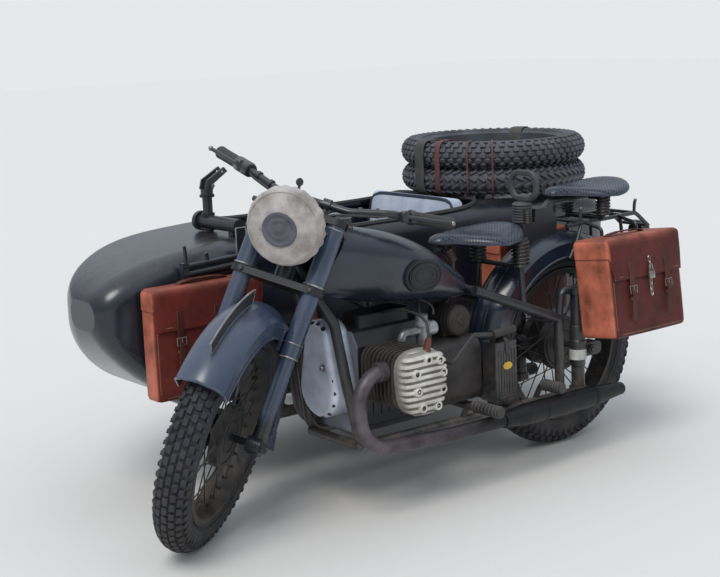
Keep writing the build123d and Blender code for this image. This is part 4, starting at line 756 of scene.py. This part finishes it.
def saddle(name, back, nose, half, high, droop):
    """A saddle from its back to its nose, its outline found by halving along each ray from its core."""
    widest, narrow, tip = back + half, nose - 34.0, 34.0

    def breadth(x):
        if x <= widest:
            return sqrt(max(0.0, half * half - (x - widest) ** 2))
        if x >= narrow:
            return sqrt(max(0.0, tip * tip - (x - narrow) ** 2))
        t = (x - widest) / (narrow - widest)
        return half + (tip - half) * (0.35 * t + 0.65 * t * t * (3 - 2 * t))

    core = widest + 20
    shell = turned(SADDLE_SHELL, 96)
    for vertex in shell.data.vertices:
        r, a = hypot(vertex.co.x, vertex.co.y), atan2(vertex.co.y, vertex.co.x)
        near, far = 0.0, 600.0
        for _ in range(26):
            middle = (near + far) / 2
            x, y = core + middle * cos(a), middle * sin(a)
            if back < x < nose and abs(y) < breadth(x):
                near = middle
            else:
                far = middle
        x, y = core + near * r * cos(a), near * r * sin(a)
        along, edge = (x - back) / (nose - back), r ** 3
        z = high + 6 * exp(-(along / 0.16) ** 2) - 13 * min(1, along * 2.4) + 5 * max(0, along - 0.75) * 4
        z -= 19 * (1 - edge) * exp(-((along - 0.38) / 0.32) ** 2) + droop * edge * sin(min(1, along * 1.25) * pi)
        vertex.co = place_on(x, y, z) + Vector((0, 0, vertex.co.z))
    handed_over(sealed(shell), name + "_rubber", "outfit", SADDLE_RUBBER, [name], smooth=70)


def coil(radius, wire, tall, turns, place):
    """A coil spring about Z with its foot at the origin, then carried to its place."""
    bpy.ops.mesh.primitive_circle_add(vertices=8, radius=wire, location=(radius, 0, wire),
                                      rotation=(radians(90), 0, 0))
    spring = settle(bpy.context.object)
    applied(spring, "SCREW", angle=2 * pi, screw_offset=(tall - 2 * wire) / turns, iterations=turns, steps=20,
            render_steps=20, use_smooth_shade=True)
    return settle(sealed(spring), place)


saddle("driver_saddle", 205.0, 549.0, 148.0, 790.0, 10)
saddle("passenger_saddle", -302.0, 38.0, 142.0, 886.0, 6)
SPRING_STEEL = finish("spring steel", (78, 76, 75), 0.38, metal=0.7, second=(80, 74, 68), cloud=40, dust=0.3)
springs = [coil(0.0262, 0.0034, 0.090, 7, at(258, y, 650)) for y in (98, -98)]
springs += [coil(0.0228, 0.003, 0.068, 6, at(-150, y, 768)) for y in (80, -80)]
springs.append(coil(0.013, 0.0024, 0.050, 7, at(478, 22, 690) @ Matrix.Rotation(0.5, 4, "Y")))
springs.append(coil(0.011, 0.0022, 0.045, 7, at(160, 34, 771)))
handed_over(joined(springs), "saddle_coils", "outfit", SPRING_STEEL)
BLOCK_RUBBER = finish("block rubber", (74, 74, 78), 0.7, second=(58, 58, 60), cloud=20, dust=0.2, grain=400,
                      relief=0.15)
dress(BLOCK_RUBBER, "grab_handle")
bellows = [(0, 0), (30, 0)]
for k in range(7):
    bellows += [(33, 3 + k * 9), (33, 6 + k * 9), (29, 8.5 + k * 9)]
bellows += [(26, 66), (0, 66)]
handed_over(settle(turned(bellows, 40), at(150, 0, 771)), "grab_handle_block", "outfit", BLOCK_RUBBER)

# Passenger's seat in the sidecar: a stuffed cushion and a raised back in pale blue-grey cloth, piped
# in dark blue, over a box.
SEAT_CLOTH = canvas("pale seat cloth", (218, 228, 246), (184, 196, 218), mesh=380.0)
PIPING = finish("dark piping", (44, 54, 74), 0.6, second=(32, 40, 58), cloud=20, dust=0.15)
BODY_Y = -616.0
CUSHION_WIDE, CUSHION_DEEP = 0.470, 0.396
cushion = softened_box(CUSHION_WIDE, CUSHION_DEEP, 0.128, 0.036, cuts=26, bulge=0.004)
for vertex in cushion.data.vertices:
    u, w = vertex.co.x / CUSHION_WIDE * 2, vertex.co.y / CUSHION_DEEP * 2 - 1
    if vertex.co.z > 0.1:
        vertex.co.z += 0.012 * (1 - u * u) * (1 - w * w) - 0.004
settle(cushion, at(132, BODY_Y, 330) @ spun(-90, "Z"))
handed_over(cushion, "sidecar_cushion", "outfit", SEAT_CLOTH, ["sidecar_seat"], smooth=60)
seat_place = at(110.3, BODY_Y, 453) @ Matrix(((0, 0.985, -0.174), (-1, 0, 0), (0, 0.174, 0.985))).to_4x4()
seat_back = settle(softened_box(0.472, 0.050, 0.358, 0.024, cuts=26, bulge=0.006), seat_place)
handed_over(seat_back, "sidecar_seat_back", "outfit", SEAT_CLOTH, ["sidecar_seat"], smooth=60)
edge = [squared(2 * pi * k / 64, 9) for k in range(64)]
piping = settle(rod([(0.229 * wide, 0.046, 0.179 + 0.172 * tall) for wide, tall in edge], 0.0065, loop=True),
                seat_place)
handed_over(piping, "sidecar_seat_piping", "outfit", PIPING)
box_under = settle(softened_box(0.380, 0.360, 0.062, 0.006, cuts=6, bulge=0), at(150, BODY_Y, 268.5) @ spun(-90, "Z"))
handed_over(box_under, "sidecar_seat_box", "outfit", FRAME_BLACK, ["sidecar_seat"])


# A rolled edge of dark hide goes round the cockpit's opening, over the sheet's lip and down its
# rounded shoulders.
def pipe(points, radius, loop=False, round_off=0):
    """A wire or tube through places on the outfit."""
    return rod([place_on(*point) for point in points], radius, loop, round_off)


DECK_UP, DECK_FLAT, SHOULDER = 793.5, 202, 78
ROLL_X, ROLL_LONG, ROLL_WIDE = 410, 450, 252
rim = []
for k in range(160):
    wide, tall = squared(2 * pi * k / 160, 7)
    drop = max(0.0, abs(ROLL_WIDE * tall) - DECK_FLAT)
    rim.append((ROLL_X + ROLL_LONG * wide, BODY_Y + ROLL_WIDE * tall,
                DECK_UP - SHOULDER + sqrt(SHOULDER ** 2 - drop * drop) + 1))
handed_over(pipe(rim, 0.0085, loop=True), "cockpit_roll", "outfit", RUBBER)


# Handlebar fittings: ribbed rubber grips, a long twist-grip barrel on the right, control cables
# clipped along the bar, the damper's knob over the steering stem and the key on the lamp.
def pointed(way):
    """The turn that brings Z to point along way."""
    return way.to_track_quat("Z", "Y").to_matrix().to_4x4()


def washer(inner, outer, half, steps=32):
    """A square-edged ring about Z, in millimetres."""
    return turned([(inner, -half), (outer, -half), (outer, half), (inner, half), (inner, -half)], steps)


for name, hand, barrel in (("left", 1, 0), ("right", -1, 70)):
    bar_end, bar_bend = Vector((-176, hand * 367, 801)), Vector((-40, hand * 220, 752))
    bar_root = Vector((-15, hand * 110, 716))
    stand = Matrix.Translation(on_fork(*bar_end)) @ pointed((on_fork(*bar_bend) - on_fork(*bar_end)).normalized())
    grip = [(0, -13.5), (14, -13.5), (20, -10), (20, -4)]
    for k in range(18):
        grip += [(17.8, k * 6.8 - 2), (19.2, k * 6.8), (19.2, k * 6.8 + 3)]
    grip += [(20.5, 121), (20.5, 122.5), (0, 122.5)]
    handed_over(settle(turned(grip, 32), stand), f"{name}_grip_rubber", "steering", RUBBER, ["grips"])
    collar = [(11.2, 124), (21.5, 124), (22.5, 127), (22.5, 139 + barrel * 0.9), (19, 142 + barrel),
              (11.2, 142 + barrel), (11.2, 124)]
    handed_over(settle(turned(collar, 32), stand), f"{name}_grip_collar", "steering", FRAME_BLACK)
    tip = turned([(0, -8), (4.5, -7), (7.2, -4), (8, 0), (7.2, 4), (4.5, 7), (0, 8)], 20)
    settle(tip, Matrix.Translation(on_fork(-124, hand * 389, 795)))
    handed_over(tip, f"{name}_lever_end", "steering", STEEL)
    clamp = bar_end + (bar_bend - bar_end).normalized() * 150
    perch = turned([(0, -16), (10, -16), (13, -12), (13, 12), (10, 16), (0, 16)], 20)
    settle(perch, Matrix.Translation(on_fork(clamp.x + 24, clamp.y, clamp.z - 6)))
    handed_over(perch, f"{name}_lever_perch", "steering", FRAME_BLACK)
    run = [clamp + Vector((22, -hand * 6, -10)), clamp + Vector((30, -hand * 34, -8)), (-26, hand * 214, 736),
           (2, hand * 150, 712), (22, hand * 96, 694), (34, hand * 60, 676), (62, hand * 52, 640),
           (84, hand * 48, 606)]
    handed_over(rod([on_fork(*p) for p in run], 0.0036, round_off=3), f"{name}_control_cable", "steering", RUBBER)
    way = pointed((on_fork(*bar_root) - on_fork(*bar_bend)).normalized())
    clips = [settle(washer(11.2, 15.2, 5, 20), Matrix.Translation(on_fork(*bar_bend.lerp(bar_root, share))) @ way)
             for share in (0.30, 0.72)]
    handed_over(joined(clips), f"{name}_cable_clips", "steering", FRAME_BLACK)
knob = turned([(0, 24), (10, 24), (14, 20), (26, 19), (30, 14), (30, 7), (24, 3), (12, 0), (0, 0)], 40)
handed_over(settle(knob, FORK @ moved(0, 0, 0.6965)), "steering_damper_knob", "steering", FRAME_BLACK)
key = [turned([(0, 30), (4, 30), (4, 0), (11, -1), (12, -4), (0, -4)], 20)]
handle = turned([(0, 0), (11, 0), (12, 3), (11, 6), (0, 6)], 20)
key.append(settle(handle, moved(0, 0.003, 0.030) @ spun(90, "X")))
key_place = Matrix.Translation(lamp_place @ Vector((0, 0.086, -0.075))) @ Matrix.Rotation(-0.2, 4, "Y")
handed_over(settle(joined(key), key_place), "lamp_key", "steering", FRAME_BLACK)

# Fork fittings: bright rings where the painted shrouds end, the yokes' pinch bolts, and a worn grey
# border round the number plate.
LEG_AHEAD, LEG_OUT = 0.055, 0.105
rings = [settle(hoop(radius, wire, 40), moved(LEG_AHEAD, y, z)) for y in (LEG_OUT, -LEG_OUT)
         for z, radius, wire in ((0.4705, 0.0325, 0.0028), (0.259, 0.0275, 0.0026), (0.300, 0.0275, 0.0018),
                                 (0.640, 0.0308, 0.0022))]
handed_over(settle(joined(rings), FORK), "fork_rings", "steering", STEEL)
bolts = []
for side in (1, -1):
    for place in (moved(LEG_AHEAD, side * 0.142, 0.660) @ spun(-90 * side, "X"),
                  moved(LEG_AHEAD + 0.031, side * LEG_OUT, 0.455) @ spun(90, "Y")):
        bolts.append(settle(turned([(0, 12), (6, 12), (8.5, 10), (8.5, 0), (0, 0)], 6), place))
handed_over(settle(joined(bolts), FORK), "fork_bolts", "steering", FRAME_BLACK)
plate_turns = [radians(29 + 39 * k / 20) for k in range(21)]
border = [round_y(0.3815, 0.0, a) for a in plate_turns] + [round_y(0.4235, 0.0, a) for a in reversed(plate_turns)]
handed_over(settle(rod(border, 0.0028, loop=True), HUBS["front"]), "number_plate_border", "steering",
            finish("worn grey edge", (150, 148, 142), 0.55, second=(96, 94, 92), cloud=30, dust=0.2))

# Cylinder heads, cast in light alloy left rough: each an egg-shaped dome, a little broader at the top,
# with ribs across it that bow with the dome, and eight bolts through it into the barrel.
HEAD_HALF_X, HEAD_HALF_Z, HEAD_Z, HEAD_OUT, RIB_PITCH = 80.0, 96.0, 416.0, 262, 19.0
HEAD_BOLTS = ((0, 486), (-46, 478), (44, 451), (-60, 440), (40, 400), (-58, 390), (24, 349), (-34, 346))
CYLINDERS = (("left", 1, 846), ("right", -1, 812))


def crown(u, v):
    """How far the head's face stands out, at a share of its half width and half height."""
    w = max(0.0, 1 - abs(v) ** 3.4) ** (1 / 2.6)
    across = min(1.0, abs(u) / max(0.05, w * (1 + 0.10 * v)))
    swell = max(0.0, 1 - across ** 4.0) ** 0.42 * max(0.0, 1 - abs(v) ** 6) ** 0.35
    return 0.004 + 0.046 * swell * (1 - 0.10 * across * across)


# Painted shade: the head's alloy darkens in the grooves between its ribs, by a value that each point of the dome
# carries.
deep = node_in(HEAD_ALLOY.node_tree, "Attribute", {}, attribute_name="groove_shade")["Fac"]
overlaid(HEAD_ALLOY, ranged(HEAD_ALLOY.node_tree, deep, 0.35, 1.0, 0.0, 0.62), shade(72, 66, 62))
for side, hand, middle in CYLINDERS:
    bpy.ops.mesh.primitive_grid_add(x_subdivisions=54, y_subdivisions=198, size=2)
    dome = bpy.context.object
    groove_shade = []
    for vertex in dome.data.vertices:
        u, v = vertex.co.x, vertex.co.y
        w = max(0.0, 1 - abs(v) ** 3.4) ** (1 / 2.6) * (1 + 0.10 * v)
        bent = copysign(sin(abs(u) * pi / 2) ** 0.9, u)
        wave = cos((v * HEAD_HALF_Z + 5.0 * bent * bent - 4) / RIB_PITCH * 2 * pi)
        rib = 0.0095 / (1 + exp(-9 * (wave + 0.1))) * min(1.0, (1 - abs(bent)) * 9) * min(1.0, (1 - abs(v)) * 14)
        y = (crown(bent * w, v) if w > 0.02 else 0.004) + rib
        if abs(u) > 0.999 or abs(v) > 0.999:
            y = -0.004
        x = middle + bent * (w * HEAD_HALF_X + 900 * rib * abs(bent))
        vertex.co = place_on(x, hand * (HEAD_OUT + 1000 * y), HEAD_Z + v * HEAD_HALF_Z)
        groove_shade.append(1 - min(1.0, rib / 0.0075))
    dome.data.attributes.new("groove_shade", "FLOAT", "POINT").data.foreach_set("value", groove_shade)
    collar = turned([(0, -6), (73, -6), (78, -3), (78, 10), (0, 10)], 56)
    taller = Matrix.Diagonal((1.0, 1.0, 1.16, 1.0))
    settle(collar, at(middle, hand * HEAD_OUT, HEAD_Z) @ taller @ spun(-90 * hand, "X"))
    handed_over(sealed(dome), f"{side}_head_dome", "outfit", HEAD_ALLOY, ["cylinder_heads"], smooth=50)
    handed_over(collar, f"{side}_head_joint", "outfit", HEAD_ALLOY, ["cylinder_heads"])

# Engine fittings: head bolts in their bosses, plug caps with their leads, the screws and nipple of
# the front cover, ribs on the block, the air cleaner's rings, and the exhausts' nuts and clamps.
DARK_STEEL = finish("oiled steel", (40, 38, 38), 0.45, metal=0.5, second=(58, 54, 50), cloud=30, dust=0.25)
BAKELITE = finish("brown plug cap", (112, 56, 44), 0.5, second=(80, 40, 32), cloud=30, dust=0.2)
bolts, bosses, caps, leads = [], [], [], []
for _, hand, middle in CYLINDERS:
    for x, z in HEAD_BOLTS:
        bolt = turned([(0, 8.8), (3, 8.8), (4, 10.8), (6.6, 10.8), (7.3, 10), (7.3, -12), (0, -12)], 18)
        boss = turned([(7.2, -4), (7.2, 10.5), (8.6, 11.8), (11.8, 11.8), (13.4, 10), (14.6, -4), (7.2, -4)], 26)
        out = HEAD_OUT + 1000 * crown(x / HEAD_HALF_X, (z - HEAD_Z) / HEAD_HALF_Z)
        seat = at(middle + x, hand * out, z) @ spun(-90 * hand, "X")
        bolts.append(settle(bolt, seat))
        bosses.append(settle(boss, seat))
    cap = turned([(0, 42), (6, 40), (10, 30), (10, 6), (13, 3), (13, 0), (0, 0)], 24)
    caps.append(settle(cap, at(middle - 18, hand * 288, 506) @ spun(-14 * hand, "X")))
    leads.append(pipe([(middle - 18, hand * 298, 546), (middle - 22, hand * 300, 590), (middle - 40, hand * 230, 606),
                       (800, hand * 120, 600), (790, hand * 60, 585), (786, hand * 40, 574)], 0.0042, round_off=4))
for k in range(14):
    a = 2 * pi * k / 14
    y, z = 84 * cos(a), 375 + 84 * sin(a)
    if z > 440:
        y, z = 60 * cos(a), 520 + 52 * sin(a)
    screw = turned([(0, 5), (5, 5), (6.5, 3), (6.5, -4), (0, -4)], 12)
    bolts.append(settle(screw, at(1004, y * 0.94, z) @ spun(90, "Y")))
handed_over(joined(bolts), "engine_bolts", "outfit", DARK_STEEL)
handed_over(joined(bosses), "head_bosses", "outfit", HEAD_ALLOY)
handed_over(joined(caps), "plug_caps", "outfit", BAKELITE)
handed_over(joined(leads), "plug_leads", "outfit", RUBBER)
nipple = turned([(0, 12), (5, 12), (7, 9), (7, 4), (11, 2), (11, -4), (0, -4)], 24)
handed_over(settle(nipple, at(1012, 40, 447) @ spun(90, "Y")), "cover_nipple", "outfit", STEEL)
ribs = [settle(cube((0.006, 0.006, 0.19), 0.0025, 2), at(664 + k * 30, hand * 96.5, 380))
        for k in range(9) for hand in (1, -1)]
handed_over(joined(ribs), "crankcase_ribs", "outfit", DARK_CASTING)
rings = [settle(hoop(0.0455, 0.0022, 48, 6), at(508, -20 + k * 15.5, 512) @ spun(90, "X")) for k in range(7)]
lid = turned([(0, 5), (10, 5), (13, 2), (36, 1.5), (38, -2), (0, -2)], 40)
rings.append(settle(lid, at(508, 82, 512) @ spun(-90, "X")))
handed_over(joined(rings), "air_cleaner_rings", "outfit", FIN_BLACK)
nut = [(21.2, 0)]
for k in range(5):
    nut += [(29, 1 + k * 5), (29, 3.2 + k * 5), (24.5, 4.5 + k * 5)]
nut += [(21.2, 26), (21.2, 0)]
clamps = [settle(turned(nut, 32), at(*spot) @ spun(90, "Y")) for spot in ((936, 225, 455), (900, -211, 455))]
for hand, y in ((1, 240), (-1, 226)):
    for x, radius in ((480, 24.5), (470, 25.5), (300, 35.2), (60, 35.2)):
        back = 478 - x
        spot = at(x, hand * (y - back * y * 0.14 / 568), 218 - back * 0.0264)
        clamps.append(settle(washer(radius - 3, radius, 6), spot @ spun(90, "Y")))
handed_over(joined(clamps), "exhaust_clamps", "outfit", PIPE)

# Small things on the tank and the frame: the filler's cap, the fuel pipes, the battery's yellow oval,
# strap and caps, the knee pads' ridges, the plungers' white bands, the pegs' ribs and the tail lens.
cap = turned([(0, 14), (26, 14), (30, 11), (36.5, 10), (37.5, 7), (37.5, 1), (36, 0), (0, 0)], 24)
handed_over(settle(cap, at(900, 0, 872)), "filler_cap", "outfit", STEEL)
fuel = [pipe([(690, 96, 606), (700, 110, 590), (724, 140, 575), (724, 150, 552)], 0.004, round_off=3),
        pipe([(650, -96, 604), (670, -110, 590), (690, -140, 575), (690, -150, 552)], 0.004, round_off=3)]
for hand in (1, -1):
    hose = [(678, hand * 150, 568), (660, hand * 140, 596), (700, hand * 90, 622), (820, hand * 64, 640),
            (940, hand * 40, 650)]
    fuel.append(pipe(hose, 0.003, round_off=4))
handed_over(joined(fuel), "fuel_pipes", "outfit", RUBBER)
oval = turned([(0, 1.2), (18.5, 1.2), (19.5, 0), (0, 0)], 40)
settle(oval, at(392, 169.0, 362) @ spun(-90, "X") @ Matrix.Scale(0.62, 4, (0, 1, 0)))
handed_over(oval, "battery_oval", "outfit", finish("yellow enamel", (214, 178, 60), 0.5, second=(180, 146, 50),
                                                   cloud=40, dust=0.2))
tops = [settle(turned([(0, 10), (8, 10), (10, 8), (10, 0), (0, 0)], 16), at(x, 133, 438))
        for x in (366, 392, 418)]
strap = ((98, 440), (110, 452), (156, 452), (168, 440), (170.5, 400))
tops.append(ribbon([place_on(392, y, z) for y, z in strap], 0.016, 0.0025, (1, 0, 0)))
handed_over(joined(tops), "battery_top", "outfit", RUBBER)
PAD_X, PAD_Z = 728, 695
ridges = []
for hand in (1, -1):
    for long, tall, y in ((66, 44, 172), (50, 31, 176), (34, 18, 176)):
        line = [(PAD_X + long * cos(k * pi / 24), hand * y, PAD_Z + tall * sin(k * pi / 24)) for k in range(48)]
        ridges.append(pipe(line, 0.0034, loop=True))
handed_over(joined(ridges), "knee_pad_ridges", "outfit", PAD_RUBBER)
bands = [settle(washer(24.5, 28.6, 17), at(38, hand * 135, 333)) for hand in (1, -1)]
handed_over(joined(bands), "plunger_bands", "outfit", finish("white band", (206, 206, 204), 0.5,
                                                             second=(170, 168, 162), cloud=30))
grooves = []
for hand in (1, -1):
    for x, z, inner, outer in ((548, 264, 178, 292), (228, 268, 158, 240)):
        for k in range(8):
            y = inner + 8 + (outer - inner - 16) * k / 7
            spot = at(x - 6 * (y - inner) / (outer - inner), hand * y, z)
            grooves.append(settle(hoop(0.0168, 0.0028, 24, 6), spot @ spun(90, "X")))
handed_over(joined(grooves), "peg_ribs", "outfit", BLOCK_RUBBER)
lens = turned([(0, 12), (12, 10.5), (21, 6), (26, 0), (28, -3), (0, -3)], 40)
handed_over(settle(lens, at(-450.5, 0, 676) @ spun(-90, "Y")), "tail_lens", "outfit",
            finish("red lens", (150, 22, 20), 0.15, second=(120, 16, 16), cloud=20, dust=0.2, coat=0.6))

# On the sidecar's nose and the carrier: the upright prongs, the plate's grey rolled edge, and the
# washers and bolts of the post and its arm.
prongs = [pipe([(x, -322, low), (x, -322, high - 10), (x + 4, -322, high)], 0.006, round_off=3)
          for x, low, high in ((1236, 732, 800), (1160, 738, 770))]
prongs += [pipe([(x, y, 752), (x, y, 790), (x - 8, y, 798)], 0.0055, round_off=3)
           for x in (-330, -60) for y in (60, -60)]
handed_over(joined(prongs), "rack_prongs", "outfit", FRAME_BLACK)
plate_edge = [(1030 + x, -330.6, 765 + z) for x, z in ((-18, -64), (18, -64), (18, 64), (-18, 64))]
handed_over(pipe(plate_edge, 0.003, loop=True), "nose_plate_edge", "outfit",
            finish("grey edge", (140, 142, 144), 0.5, second=(100, 100, 100), cloud=30))
washers = [settle(washer(16.2, radius, 4, 28), at(988, -578, z)) for z, radius in ((905.5, 24), (846, 22), (800, 26))]
handed_over(joined(washers), "post_washers", "outfit", DARK_STEEL)
arm_bolts = [settle(turned([(0, 9), (3.5, 9), (3.5, 5), (7.5, 5), (7.5, 0), (0, 0)], 6),
                    at(980, y, 938) @ spun(turn, "X"))
             for y, turn in ((-556.5, -90), (-600.5, 90))]
handed_over(joined(arm_bolts), "arm_bolts", "arm", STEEL)
